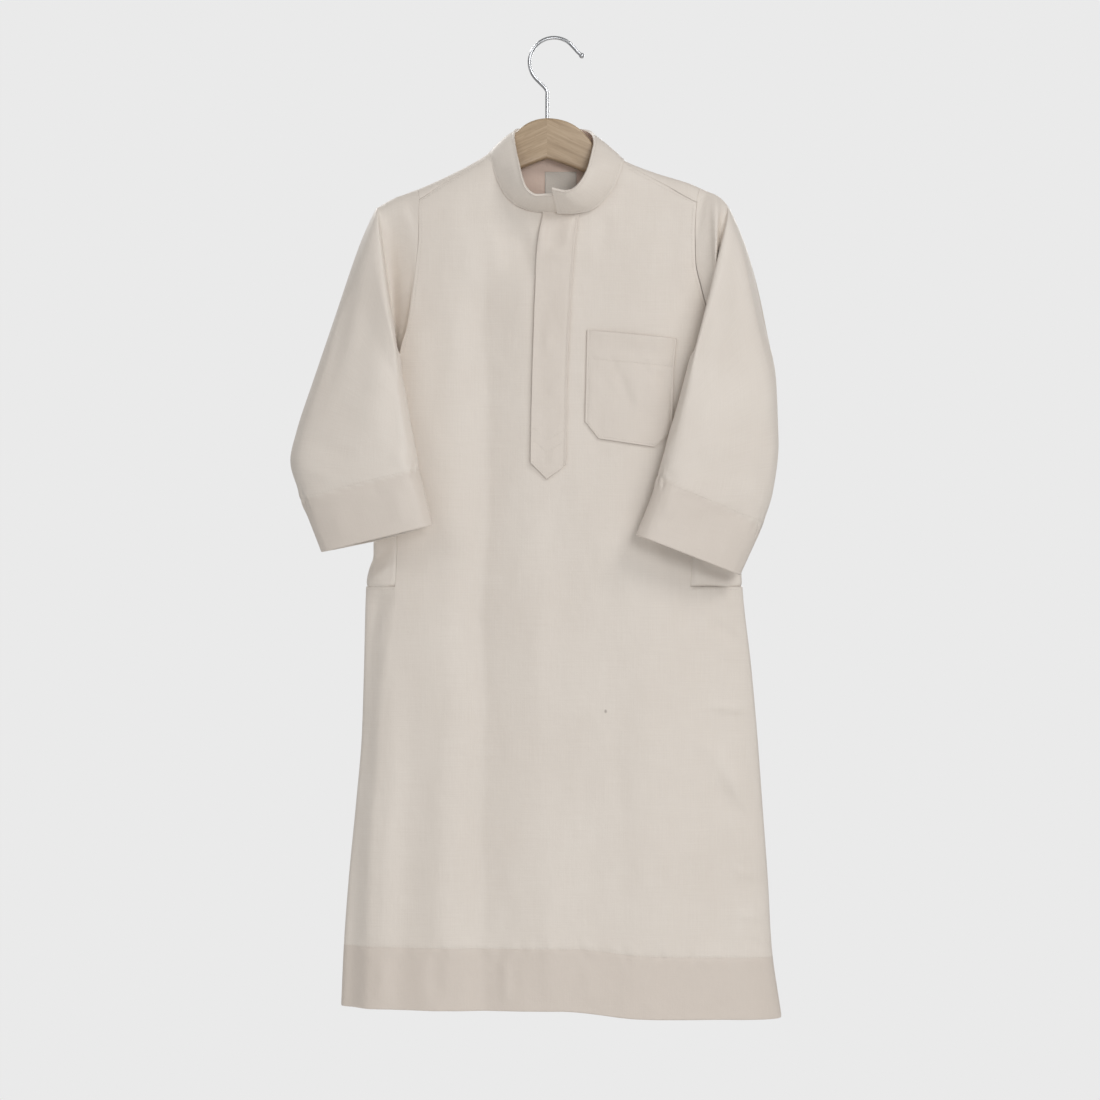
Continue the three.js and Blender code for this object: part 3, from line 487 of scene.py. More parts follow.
def woodMaterial():
    g = Graph("beechBoard", (0.50, 0.37, 0.24), 0.42, Coat_Weight=0.15, Coat_Roughness=0.3)
    x = g.node("ShaderNodeSeparateXYZ", None, {0: g.coords()}, out=0)
    y = Sock(g, x.link.node.outputs[1])
    z = Sock(g, x.link.node.outputs[2])
    side = x - stemX * mm
    arm = g.node("ShaderNodeMath", {"operation": "ABSOLUTE"}, {0: side})
    sign = g.node("ShaderNodeMath", {"operation": "SIGN"}, {0: side})
    slope = math.radians(24)
    along = arm * math.cos(slope) - z * math.sin(slope)
    over = arm * math.sin(slope) + z * math.cos(slope)
    grain = g.node("ShaderNodeCombineXYZ", None, {0: along * 14 + sign * 7, 1: over * 330, 2: y * 160})
    rings = g.noise(grain, 1.0, 4.0, 0.62)
    fleckPlace = g.node("ShaderNodeCombineXYZ", None, {0: along * 130 + sign * 3, 1: over * 1500, 2: y * 600})
    flecks = g.noise(fleckPlace, 1.0, 1.0)
    dark = g.node("ShaderNodeMapRange", None, {0: flecks, 1: 0.60, 2: 0.72, 3: 0.0, 4: 0.55})
    tone = g.node("ShaderNodeValToRGB", {"stops": [(0.30, (0.34, 0.24, 0.148)), (0.5, (0.44, 0.325, 0.21)),
                                                   (0.70, (0.53, 0.405, 0.275))]}, {0: rings})
    g.feed("Base Color", g.mix(dark, tone, (0.30, 0.20, 0.12, 1)))
    g.feed("Normal", g.bump(rings + flecks * 0.3, 0.2, 0.0004))
    return g.material


def wireMaterial():
    g = Graph("polishedWire", (0.55, 0.56, 0.58), 0.22, 1.0)
    scratches = g.noise(g.scaled(g.coords(), (300, 300, 40)), 1.0, 2.0)
    g.feed("Roughness", scratches * 0.12 + 0.16)
    return g.material


labelCloth, beech, wire = labelMaterial(), woodMaterial(), wireMaterial()
print("materials ready")

# ---------------------------------------------------------------- front, back, yoke, side panels

share = lambda place: (place + 128) / 263.5
gap = garment["seam"]


def panelX(place, z):
    return lerp(seamX[-1](z) + gap / 2, seamX[1](z) - gap / 2, share(place))


def levels(top, foot):  # rows from a top edge to the hem, shared by all columns
    cell = garment["cell"]
    chest = steps(0, 1, cell / 150, False)
    near = np.array([0, 0.5 / 150, 1.3 / 150])
    chest = np.concatenate([near, chest[1:-1]])
    waist = steps(0, 1, cell / 218, False)[:-1]
    skirt = np.concatenate([steps(0, 1, cell / 343, False)[:-1], 1 - np.array([1.8, 0.7]) / 343])
    band = np.concatenate([[0, 0.7 / 57, 1.8 / 57], steps(0, 1, cell / 57, False)[1:-1], [1 - 1.3 / 57, 1 - 0.5 / 57, 1]])
    top, foot = np.atleast_1d(top)[:, None], np.atleast_1d(foot)[:, None]
    under, hip = garment["underarmZ"], garment["hipZ"]
    line = foot + garment["hemDepth"]
    rows = [lerp(top, under, chest[None]), lerp(under, hip, waist[None]) + 0 * top, lerp(hip, line, skirt[None]),
            lerp(line, foot, band[None])]
    return np.concatenate(rows, 1), len(chest) + len(waist)


def panel(side, topEdge):
    places = steps(-128, 135.5, garment["cell"])
    z, hipRow = levels(topEdge(panelX(places, garment["shoulderLevel"])), hemZ(places))
    x = panelX(places[:, None], z)
    blocks, kept = [], []
    for end in (-1, 1):
        t = np.linspace(0, 1, 26)[:, None] ** 1.9
        sz, _ = levels(np.full(len(t), -160.0), hemZ(lerp(sideX[end](-925), seamX[end](-520), t[:, 0])))
        sx = lerp(sideX[end](sz), seamX[end](sz) - end * gap / 2, t)
        blocks.append((sx[::-end], sz[::-end]))
    x = np.concatenate([blocks[0][0][:-1], x, blocks[1][0][1:]])
    z = np.concatenate([blocks[0][1][:-1], z, blocks[1][1][1:]])
    y = bodyY(side, x, z)
    y[0], y[-1] = 0, 0
    edgeCount = len(blocks[0][0]) - 1
    keep = np.zeros(x.shape, bool)
    keep[:, hipRow:] = True
    keep[edgeCount:x.shape[0] - edgeCount - 1] = True
    return np.stack([x, y, z], 2), keep, edgeCount, hipRow


def frontTop(x):
    inNeck = (x > neckLeft + 0.4) & (x < neckRight - 0.4)
    return np.where(inNeck, neckFrontZ(x), yokeFrontZ(x) - gap)


frontPoints, frontKeep, edgeCount, hipRow = panel(-1, frontTop)
backPoints, backKeep, _, _ = panel(1, lambda x: np.full(np.shape(x), garment["backYokeZ"] - gap))


def planUv(points):
    return np.stack([points[..., 0], points[..., 2]], 2)


def facingOf(points, outward):
    normal = gridNormals(points)
    middle = normal[normal.shape[0] // 2, normal.shape[1] // 2]
    return 1 if middle @ np.array(outward) > 0 else -1


def bodyShell(name, points, keep, side, look):
    facing = facingOf(points, (0, side, 0))
    layers = hemShadeMask(points[..., 0], points[..., 2])
    points = curl(tuck(points, 1, -1, outward=facing), outward=facing)
    keep = np.concatenate([keep[:, :1]] * 3 + [keep] + [keep[:, -1:]] * 6, 1)
    layers = np.concatenate([layers[:, :1]] * 3 + [layers] + [layers[:, -1:]] * 6, 1)
    return shell(name, points, facing, look, garment["cloth"], keep=keep, uv=planUv(points), layers=layers)


frontPanel = bodyShell("frontPanel", frontPoints, frontKeep, -1, frontCloth)
backPanel = bodyShell("backPanel", backPoints, backKeep, 1, cloth)
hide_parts("front_panel")
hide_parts("back_panel")


def yokePoints():
    places = np.concatenate([steps(-128, neckLeft, 3), steps(neckLeft, neckRight, 3, False)[1:-1],
                             steps(neckRight, 135.5, 3)])
    inNeck = (places > neckLeft + 0.1) & (places < neckRight - 0.1)
    seam = yokeFrontZ(panelX(places, garment["shoulderLevel"]))
    ridge = seam + 10
    for turn in range(6):
        ridge = ridgeZ(panelX(places, ridge))
    fall = np.array([1, 0.94, 0.85, 0.7, 0.5, 0.3, 0.17, 0.08, 0.03, 0.008, 0.0])
    rows = [lerp(ridge, seam, f) for f in fall]
    start = np.where(inNeck, neckBackZ(places), ridge)
    down = np.concatenate([[0.0016], np.linspace(0, 1, 34)[1:-1] ** 1.5, [1 - 1.3 / 70, 1 - 0.5 / 70, 1]])
    rows[-1] = start
    rows += [lerp(start, garment["backYokeZ"], d) for d in down]
    z = np.stack(rows, 1)
    xs = panelX(places[:, None], z)
    side = np.where(np.arange(z.shape[1])[None] < len(fall), -1, 1) + 0 * places[:, None]
    side[inNeck, len(fall) - 1] = 1
    y = np.where(side < 0, bodyY(-1, xs, z), bodyY(1, xs, z))
    keep = np.ones(z.shape, bool)
    keep[:, :len(fall) - 1] = ~(inNeck | np.roll(inNeck, -1))[:, None]
    return np.stack([xs, y, z], 2), keep


yokeGrid, yokeKeep = yokePoints()
yoke = shell("shoulderYoke", yokeGrid, facingOf(yokeGrid, (0, 1, 0)), cloth, garment["cloth"], keep=yokeKeep,
             uv=np.stack([yokeGrid[..., 0], np.cumsum(np.ones(yokeGrid.shape[:2]), 1) * 3], 2))
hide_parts("yoke")


def sidePanel(name, end, node):
    t = np.concatenate([np.linspace(0, 1, 22) ** 0.6, np.linspace(1, 0, 22)[1:] ** 0.6])[:, None]
    side = np.where(np.arange(len(t)) < 22, -1, 1)[:, None]
    z = np.linspace(garment["underarmZ"] - 2, garment["hipZ"] + gap, 74)[None] + 0 * t
    x = lerp(seamX[end](z) + end * gap / 2, sideX[end](z), t)
    y = np.where(side < 0, formY(-1, x, z), formY(1, x, z))
    wrinkle = np.zeros(z.shape)
    for mark in ((-150, -440, -176, -492, 5, 1.6), (-148, -476, -178, -500, 4, -1.4), (-150, -496, -176, -516, 4, 1.5),
                 (131, -486, 176, -500, 5, 1.3), (132, -500, 178, -514, 4, -1.2)):
        wrinkle = wrinkle + crease(x, z, mark)
    wrinkle = wrinkle + 0.5 * noise(x / 9, z / 24, 31)
    roll = -1.2 * np.exp(-((z - garment["hipZ"]) / 2.5) ** 2)
    points = np.stack([x, y, z], 2)
    normal = gridNormals(points)
    normal = normal * np.sign(np.median(normal[len(t) // 2, :, 0]) * end)
    points = points + normal * (wrinkle * np.clip(t * 5, 0, 1) + roll)[..., None]
    facing = facingOf(points, (end, 0, 0))
    for axis, edge in ((0, -1), (0, 1), (1, 1)):
        points = tuck(points, axis, edge, outward=facing)
    piece = shell(name, points, facing, cloth, garment["cloth"], uv=planUv(points))
    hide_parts(node)
    return piece


sideRight = sidePanel("sidePanelRight", -1, "side_panel_right")
sideLeft = sidePanel("sidePanelLeft", 1, "side_panel_left")
print("body panels ready")

# ---------------------------------------------------------------- sleeves

sleeveRightRings = [  # top edge x y z, inner edge x y z, underarm x z, depth in front, behind, bow
    (-147, 0, -149, -148.6, 0, -301, -154.6, -300.4, 12, 15, 4, 0),
    (-158, 0, -154, -149.4, 3, -302.4, -156, -301.4, 11, 15, 0, -3),
    (-165.6, 0, -158.6, -149.6, 3, -304, -157.4, -303.4, 12, 14, 0, -3),
    (-168.4, 0, -160.4, -146, -20, -305, -158, -304, 17, 14, 0, 15),
    (-178, -1, -180, -144.6, -25, -316, -161, -311, 20, 13, 0),
    (-194, -3, -222, -141, -26, -335, -163, -324, 19, 12, 0),
    (-211, -6, -273, -137.6, -29, -354, -164, -343, 20, 11, 0),
    (-229, -11, -329, -133, -32, -376, -164, -366, 20, 9, 0),
    (-243.6, -15, -374.6, -129, -35, -398, -168, -392, 19, 8, 0),
    (-249, -18, -400, -126.6, -37, -410, -170, -408, 18, 8, 0),
    (-240, -23, -431, -121.4, -41, -429, -168, -432, 16, 8, 0),
    (-218.6, -30, -486, -113.4, -46, -460.8, -160, -474, 13, 8, 0),
]
sleeveLeftRings = [
    (148, 0, -146, 157, -12, -301, 162, -300.4, 12, 15, -4, 9),
    (155, 0, -149, 152, -19, -303, 163.4, -301.6, 16, 15, -3, 15),
    (160, 0, -152.6, 144, -12, -304.6, 164.6, -303.6, 11, 14, 1, 5),
    (164, 0, -157, 134, -12, -305, 165.6, -306.4, 11, 14, 2, 4),
    (166, 0, -159.8, 129.6, -27, -305, 166, -308, 18, 13, 2),
    (175, -1, -179, 125.4, -31, -318, 167, -314, 21, 13, 0),
    (189, -3, -220, 118.6, -33, -342, 168.6, -331, 20, 12, 0),
    (201, -6, -275, 112, -35, -364, 168.6, -350, 20, 10, 0),
    (210.6, -11, -326, 105, -38, -388, 168.6, -377, 20, 9, 0),
    (212, -16, -382, 98.4, -41, -411, 163, -404, 18, 8, 0),
    (206.5, -21, -429.5, 91.4, -44, -434, 156, -434, 16, 8, 0),
    (194, -26, -466, 84.4, -46, -452, 147, -463, 14, 8, 0),
    (175.4, -32, -507.8, 77.2, -48, -469.8, 136, -491, 13, 8, 0),
]


def catmull(points, t, closed=True):  # centripetal curve, t counts control points
    points = np.asarray(points, float)
    count = len(points)
    i = np.floor(t).astype(int)
    if not closed:
        i = np.clip(i, 0, count - 2)
    f = (t - i)[:, None]

    def pick(k):
        if closed:
            return points[k % count]
        low, high = 2 * points[0] - points[1], 2 * points[-1] - points[-2]
        return np.concatenate([[low], points, [high]])[k + 1]
    p = [pick(i + k) for k in (-1, 0, 1, 2)]
    d = [np.maximum(np.linalg.norm(p[k + 1] - p[k], axis=1)[:, None], 1e-6) ** 0.5 for k in range(3)]
    t1 = ((p[1] - p[0]) / d[0] - (p[2] - p[0]) / (d[0] + d[1]) + (p[2] - p[1]) / d[1]) * d[1]
    t2 = ((p[2] - p[1]) / d[1] - (p[3] - p[1]) / (d[1] + d[2]) + (p[3] - p[2]) / d[2]) * d[1]
    a, b = p[1], p[2]
    return (a * (1 + 2 * f) * (1 - f) ** 2 + b * (3 - 2 * f) * f * f + t1 * f * (1 - f) ** 2 + t2 * f * f * (f - 1))


def seamRing(end, frontCount, count):
    under = garment["underarmZ"]
    ridge = float(ridgeZ(seamX[end](-142)))
    t = np.arange(frontCount) / frontCount
    z = lerp(ridge, under, t ** 1.15)
    x = seamX[end](z) + end * gap
    front = np.stack([x, bodyY(-1, x, z), z], 1)
    turnCount = 8
    turn = np.linspace(0, 1, turnCount, endpoint=False)
    edge = seamX[end](under) + end * gap
    bx = lerp(edge, sideX[end](under), np.sin(turn * math.pi / 2))
    low = np.stack([bx, formY(-1, bx, under + 0 * bx), under + 0 * bx], 1)
    backCount = count - frontCount - turnCount
    t = np.arange(backCount) / backCount
    bx2 = lerp(sideX[end](under), edge, np.clip(t * backCount / turnCount, 0, 1) ** 0.7)
    z2 = np.where(t * backCount < turnCount, under, lerp(under, ridge, smooth(0) + ((t * backCount - turnCount)
                  / (backCount - turnCount)).clip(0, 1) ** 0.87))
    x2 = np.where(t * backCount < turnCount, bx2, seamX[end](z2) + end * gap)
    back = np.stack([x2, formY(1, x2, z2), z2], 1)
    return np.concatenate([front, low, back])


def sleevePoints(end, rings, count=150, frontCount=64, cell=3.2):
    loops = [seamRing(end, frontCount, count)]
    lowShare = 3.0
    k = np.arange(count)
    t = np.where(k < frontCount, lowShare * k / frontCount,
                 lowShare + (7 - lowShare) * (k - frontCount) / (count - frontCount))
    for row in rings:
        top, low = np.array(row[0:3], float), np.array(row[3:6], float)
        wx, wz, ahead, behind, bow = row[6:11]
        foot = row[11] if len(row) > 11 else ahead
        reach = math.hypot(wx - low[0], wz - low[2]) / math.hypot(top[0] - low[0], top[2] - low[2])
        under = np.array([wx, lerp(low[1], top[1], reach) + 2, wz])
        loops.append(catmull([
            top,
            lerp(top, low, 0.08) + (bow * 0.4, -ahead * 0.82, 0),
            lerp(top, low, 0.92) + (bow * 0.3, -foot, 0),
            low,
            under,
            lerp(under, top, 0.3) + (0, behind, 0),
            lerp(under, top, 0.85) + (0, behind * 0.9, 0),
        ], t))
    loops = np.array(loops)
    knots = np.concatenate([[0], np.linalg.norm(np.diff(loops, axis=0), axis=2).mean(1).cumsum()])
    run = steps(0, knots[-1], cell)
    result = np.zeros((count, len(run), 3))
    for a in range(3):
        for k in range(count):
            rows = [(knots[r], loops[r, k, a]) for r in range(len(knots))]
            result[k, :, a] = through(rows, 1)(run)
    return result, run


sleeveCreases = {
    -1: [(-172, -170, -196, -330, 9, 1.3), (-182, -210, -224, -372, 8, -1.2), (-158, -240, -176, -400, 12, 1.2),
         (-150, -300, -150, -400, 8, -1.0), (-200, -330, -150, -380, 14, 0.9), (-238, -380, -180, -402, 8, -1.1),
         (-246, -402, -196, -424, 6, 1.0), (-150, -390, -132, -420, 5, 1.2), (-176, -412, -160, -440, 5, -0.9),
         (-206, -440, -196, -480, 8, 0.9), (-150, -424, -140, -464, 8, 1.0), (-168, -330, -214, -350, 8, -0.8)],
    1: [(172, -180, 196, -330, 7, 1.5), (180, -200, 205, -300, 6, -1.2), (164, -190, 150, -330, 10, 1.3),
        (148, -270, 120, -390, 9, -1.1), (196, -300, 205, -420, 7, 1.4), (206, -340, 196, -440, 6, -1.2),
        (130, -380, 190, -400, 12, 0.9), (120, -400, 160, -420, 8, -0.8), (180, -420, 200, -450, 6, 1.2),
        (110, -420, 104, -460, 6, 1.1), (140, -444, 132, -484, 7, -0.9), (170, -458, 160, -498, 7, 1.0)],
}


cuffLines = {-1: (-238, -438.9, -126.6, -410.2), 1: (98.4, -416.1, 196.3, -463.5)}  # x z to x z


def pastLine(x, z, line):  # how far below the cuff stitching
    x0, z0, x1, z1 = line
    return ((x - x0) * (z1 - z0) - (z - z0) * (x1 - x0)) / math.hypot(x1 - x0, z1 - z0)


def sleeve(name, end, rings, node):
    points, run = sleevePoints(end, rings)
    normal = gridNormals(points, True)
    centre = points.mean(0, keepdims=True)
    facing = np.sign(((points - centre) * normal).sum(2).mean())
    normal = normal * facing
    x, z = points[..., 0], points[..., 2]
    isFront = np.zeros(x.shape)
    isFront[:64] = 1
    relief = np.zeros(x.shape)
    for mark in sleeveCreases[end]:
        relief = relief + crease(x, z, mark) * isFront + crease(x * 1.02 + 8, z + 14, mark) * (1 - isFront) * 0.8
    k = np.arange(x.shape[0])[:, None]
    ring = k / x.shape[0] * 300
    past = pastLine(x, z, cuffLines[end])
    gather = noise(ring / 9, run / 24, 40 + end) + 1.1 * noise(ring / 5 + run / 9, run / 12, 42 + end)
    relief = relief + gather * np.exp(-(past / 10) ** 2) - 0.7 * np.exp(-(past / 1.6) ** 2)
    relief = relief + 0.55 * noise(ring / 26, run / 60, 44 + end) + 0.25 * noise(ring / 11, run / 26, 46 + end)
    calm = smooth(run / 26)[None]
    points = points + normal * (relief * calm)[..., None]
    # mask for the painted shade of the doubled cuff, past the cuff stitching
    layers = smooth((past + 0.6) / 1.2) * 0.6
    sewn = np.concatenate([points[:1] * 0 + points[:1], points[1:]])
    ahead = sewn[:, :1] - sewn[:, 2:3]
    ahead = ahead / np.linalg.norm(ahead, axis=2, keepdims=True)
    rows = [sewn[:, :1] + ahead * 0.9 * a - normal[:, :1] * 1.35 * b for a, b in ((1, 1), (0.6, 0.8), (0.35, 0.25))]
    layers = np.concatenate([layers[:, :1]] * 3 + [layers] + [layers[:, -1:]] * 6, 1)
    piece = shell(name, curl(np.concatenate(rows + [sewn], 1), outward=facing), facing, cloth, garment["cloth"], closed=True, layers=layers)
    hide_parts(node)
    return piece, points, normal, past, facing


sleeveRight = sleeve("sleeveRight", -1, sleeveRightRings, "sleeve_right")
sleeveLeft = sleeve("sleeveLeft", 1, sleeveLeftRings, "sleeve_left")


def cuffTurnUp(name, sleeveData, node):  # the turned-up cuff: rolls under the edge and lies inside
    _, points, normal, past, facing = sleeveData
    start = np.searchsorted(past.mean(0), -1)
    inside = points[:, start:-1] - normal[:, start:-1] * (garment["cloth"] + 0.5)
    rolled = np.concatenate([inside, points[:, -1:] - normal[:, -1:] * 2.4], 1)
    piece = shell(name, rolled, facing, cloth, 0.8, closed=True, paintInsideShade=False)
    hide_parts(node)
    return piece


cuffRight = cuffTurnUp("cuffTurnUpRight", sleeveRight, "cuff_turnup_right")
cuffLeft = cuffTurnUp("cuffTurnUpLeft", sleeveLeft, "cuff_turnup_left")


def hemTurnUp():
    ring = np.concatenate([frontPoints, backPoints[::-1][1:-1]])
    depth = ring[0, -1, 2]
    rows = ring.shape[1]
    start = rows - int(garment["hemDepth"] / garment["cell"]) - 2
    band = ring[:, start:]
    normal = gridNormals(band, True)
    outward = band[band.shape[0] // 4, 0] - band[:, 0].mean(0)
    normal = normal * np.sign((normal[:, 0] * (band[:, 0] - band[:, 0].mean(0))).sum())
    inside = band[:, :-1] - normal[:, :-1] * (garment["cloth"] + 0.5)
    rolled = np.concatenate([inside, band[:, -1:] - normal[:, -1:] * 2.4], 1)
    facing = np.sign((gridNormals(rolled, True)[:, 2] * (rolled[:, 2] - rolled[:, 2].mean(0))).sum())
    piece = shell("hemTurnUp", rolled, facing, cloth, 0.8, closed=True, paintInsideShade=False)
    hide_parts("hem_turnup")
    return piece


hem = hemTurnUp()
print("sleeves and turned-up edges ready")

# ---------------------------------------------------------------- collar

collarSections = [  # base x y z, rim x y z
    (2.8, -22.4, -167, -2, -47.6, -147.4), (20, -21, -167, 9, -46, -149.6), (37, -18.8, -162.4, 18.4, -42.4, -146.6),
    (50.6, -16.4, -149.6, 25.4, -38.6, -139.2), (59, -14, -134.6, 30.6, -34, -129), (64.4, -8, -118, 35.2, -22, -112),
    (64.6, 0, -112.2, 38, -4, -92), (49, 11.4, -114.4, 30, 16, -83.4), (0, 12.4, -113, 0, 25, -82),
    (-47, 10.4, -111.4, -28, 18, -82.4), (-60.8, 0, -106.6, -37.8, -3, -87), (-60.8, -8, -113, -36.6, -18, -104),
    (-56.2, -13, -126.4, -33.4, -30, -121), (-50.8, -15.8, -140.6, -30.6, -36.8, -134.8),
    (-39.8, -17.2, -155.4, -26.4, -40.4, -146.4), (-25.2, -17.4, -163.4, -17.8, -41.6, -153),
    (-6, -16.2, -166.2, -6, -41, -152.8), (16, -15.6, -166.4, 11, -39.4, -153.8),
]


def collarGrid():
    table = np.array(collarSections, float)
    t = steps(0, len(table) - 1, 0.075)
    t = np.clip(np.concatenate([[0, 0.02, 0.05], np.linspace(0.1, len(table) - 1.1, 230),
                                [len(table) - 1.05, len(table) - 1.02, len(table) - 1]]), 0, len(table) - 1 - 1e-6)
    base = catmull(table[:, :3], t, False)
    rim = catmull(table[:, 3:], t, False)
    v = np.concatenate([[0, 0.02, 0.05], np.linspace(0.1, 0.9, 13), [0.95, 0.98, 1]])
    points = base[:, None] + (rim - base)[:, None] * lerp(-0.035, 1.0, v)[None, :, None]
    normal = gridNormals(points)
    normal = normal * np.sign((normal[:, 8] * (points[:, 8] - points[:, 8].mean(0))).sum())
    crown = 1.3 * np.sin(v * math.pi)[None] + 0.25 * noise(t[:, None] * 1.7, v[None] * 3, 51)
    edge = -0.7 * np.exp(-((v - 0.075) / 0.03) ** 2) - 0.7 * np.exp(-((v - 0.925) / 0.03) ** 2)
    return points + normal * (crown + edge[None])[..., None], normal, t, v


collarPoints, collarNormal, collarRun, collarV = collarGrid()
collarFacing = np.sign((gridNormals(collarPoints)[:, 8] * collarNormal[:, 8]).sum())
collar = shell("collarBand", collarPoints, collarFacing, bandCloth, garment["collarCloth"])
collarBevel = collar.modifiers.new("edges", "BEVEL")
collarBevel.width = 0.7 * mm
collarBevel.segments = 2
collarBevel.angle_limit = math.radians(50)
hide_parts("collar_band")

# ---------------------------------------------------------------- placket, pocket, label

placketEdges = [(-170, -11, 23.3), (-192, -14.9, 20), (-212, -16.4, 18.4), (-250, -18.3, 15.8),
                (-340, -21, 12.2), (-419, -22.4, 11.2)]
placketPoint = [(0, -402.6), (0.46, -418.2), (0.9, -407.5), (1, -403)]
pocketTop = [(0, -277.6), (1, -285.6)]
pocketFoot = [(0, -364), (0.16, -380), (0.8, -388), (1, -373)]
pocketEdges = [(-278, 31, 116.4), (-318, 30.2, 113), (-390, 28.6, 110.8)]


def straight(rows):
    table = np.array(rows, float)
    return lambda x: np.interp(x, table[:, 0], table[:, 1])


def patch(edges, top, foot, across, down):  # a grid on the front between two edges
    left, right = through(edges, 1), through(edges, 2)
    topZ, footZ = straight(top)(across), straight(foot)(across)
    v = steps(0, 1, down, False)
    v = np.concatenate([[0, v[1] * 0.2, v[1] * 0.5], v[1:-1], [1 - v[1] * 0.5, 1 - v[1] * 0.2, 1]])
    z = lerp(topZ[:, None], footZ[:, None], v[None])
    x = lerp(left(z), right(z), across[:, None])
    return x, z, v


def onFront(x, z, lift):  # point and normal on the front, moved out
    step = 0.8
    y = bodyY(-1, x, z)
    dx = (bodyY(-1, x + step, z) - bodyY(-1, x - step, z)) / (2 * step)
    dz = (bodyY(-1, x, z + step) - bodyY(-1, x, z - step)) / (2 * step)
    normal = np.stack([dx, -np.ones_like(dx), dz], -1)
    normal = normal / np.linalg.norm(normal, axis=-1, keepdims=True)
    return np.stack([x, y, z], -1) + normal * np.asarray(lift)[..., None], normal


def edgeCells(stops, size):
    parts = [np.linspace(a, b, max(2, int((b - a) / size) + 1))[:-1] for a, b in zip(stops, stops[1:])]
    return np.unique(np.concatenate(parts + [[stops[-1]], [0.012, 0.035, 0.965, 0.988]]))


def placketGrid():
    across = edgeCells([0, 0.46, 0.9, 0.93, 0.96, 1], 0.06)
    x, z, v = patch(placketEdges, [(0, -164.6), (1, -163.4)], placketPoint, across, 0.011)
    u = across[:, None]
    lift = garment["placketCloth"] + garment["lift"] + 0.9 * np.exp(-(u / 0.16) ** 2)
    lift = lift + 0.35 * noise(u * 3, z / 19, 61) * np.sin(u * math.pi) + 0.22 * noise(u * 5 + 9, z / 8, 62)
    dimple = 1.9 * np.exp(-((u - 0.10) / 0.14) ** 2 - ((z + 188) / 16) ** 2)
    dimple = dimple + 1.7 * np.exp(-((u - 0.80) / 0.16) ** 2 - ((z + 186) / 15) ** 2)
    dimple = dimple + 1.5 * np.exp(-((u - 0.46) / 0.26) ** 2 - ((z + 205) / 6) ** 2)
    dimple = dimple - 1.0 * np.exp(-((u - 0.44) / 0.18) ** 2 - ((z + 186) / 11) ** 2)
    lift = lift * smooth((-163 - z) / 9) + dimple * smooth((-166 - z) / 10) - 0.9 * np.exp(-((u - 0.93) / 0.022) ** 2)
    return onFront(x, z, np.maximum(lift, garment["placketCloth"] + 0.3))


placketPoints, placketNormal = placketGrid()
# the placket gets a flat painted shade of doubled cloth through the layers attribute
placket = shell("placketStrip", placketPoints, facingOf(placketPoints, (0, -1, 0)), bandCloth, garment["placketCloth"],
                uv=planUv(placketPoints), layers=np.full(placketPoints.shape[:2], 0.55))
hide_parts("placket")


def pocketGrid():
    across = edgeCells([0, 0.024, 0.05, 0.16, 0.8, 0.95, 0.976, 1], 0.03)
    x, z, v = patch(pocketEdges, pocketTop, pocketFoot, across, 0.025)
    u, v = across[:, None], v[None]
    mouth = np.exp(-(v / 0.10) ** 2) * np.sin(np.clip(u, 0, 1) * math.pi) ** 0.7
    lift = garment["cloth"] + garment["lift"] + 2.2 * mouth
    lift = lift + 0.9 * np.sin(u * math.pi) * np.sin(v * math.pi)
    stitch = lerp(-304.5, -312.4, u)
    lift = lift + (0.8 * noise(u * 12, z / 20, 71) + 0.5 * noise(u * 22, z / 14, 73)) * np.exp(-((z - stitch) / 7) ** 2)
    lift = lift - 0.5 * np.exp(-((z - stitch) / 1.5) ** 2)
    lift = lift + crease(x, z, (58, -312, 76, -358, 5, -0.8)) + crease(x, z, (66, -314, 86, -352, 7, 0.6))
    lift = lift + crease(x, z, (84, -320, 104, -352, 7, 0.8)) + crease(x, z, (96, -316, 108, -330, 4, -0.8))
    lift = lift + 0.3 * noise(x / 12, z / 15, 72) - 0.5 * np.exp(-((np.minimum(u, 1 - u) - 0.024) / 0.012) ** 2)
    return onFront(x, z, np.maximum(lift, garment["cloth"] + 0.35))


pocketPoints, pocketNormal = pocketGrid()
# the pocket gets a flat painted shade of doubled cloth through the layers attribute
pocket = shell("chestPocket", pocketPoints, facingOf(pocketPoints, (0, -1, 0)), cloth, garment["cloth"],
               uv=planUv(pocketPoints), layers=np.full(pocketPoints.shape[:2], 0.35))
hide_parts("chest_pocket")


def neckLabel():
    x, z = np.meshgrid(np.linspace(-8.6, 21.4, 31), np.linspace(-124.5, -147, 24), indexing="ij")
    y = bodyY(1, x, z) - garment["cloth"] - 0.5 - 0.5 * np.exp(-((z + 147) / 4) ** 2)
    points = np.stack([x, y, z], 2)
    piece = shell("neckLabel", points, facingOf(points, (0, -1, 0)), labelCloth, 0.6, slot="label")
    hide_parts("neck_label")
    return piece


neckTag = neckLabel()
print("collar, placket, pocket and label ready")

# ---------------------------------------------------------------- stitches

thread = {"pitch": 2.9, "length": 2.3, "width": 0.42, "height": 0.30}
sewing = bmesh.new()


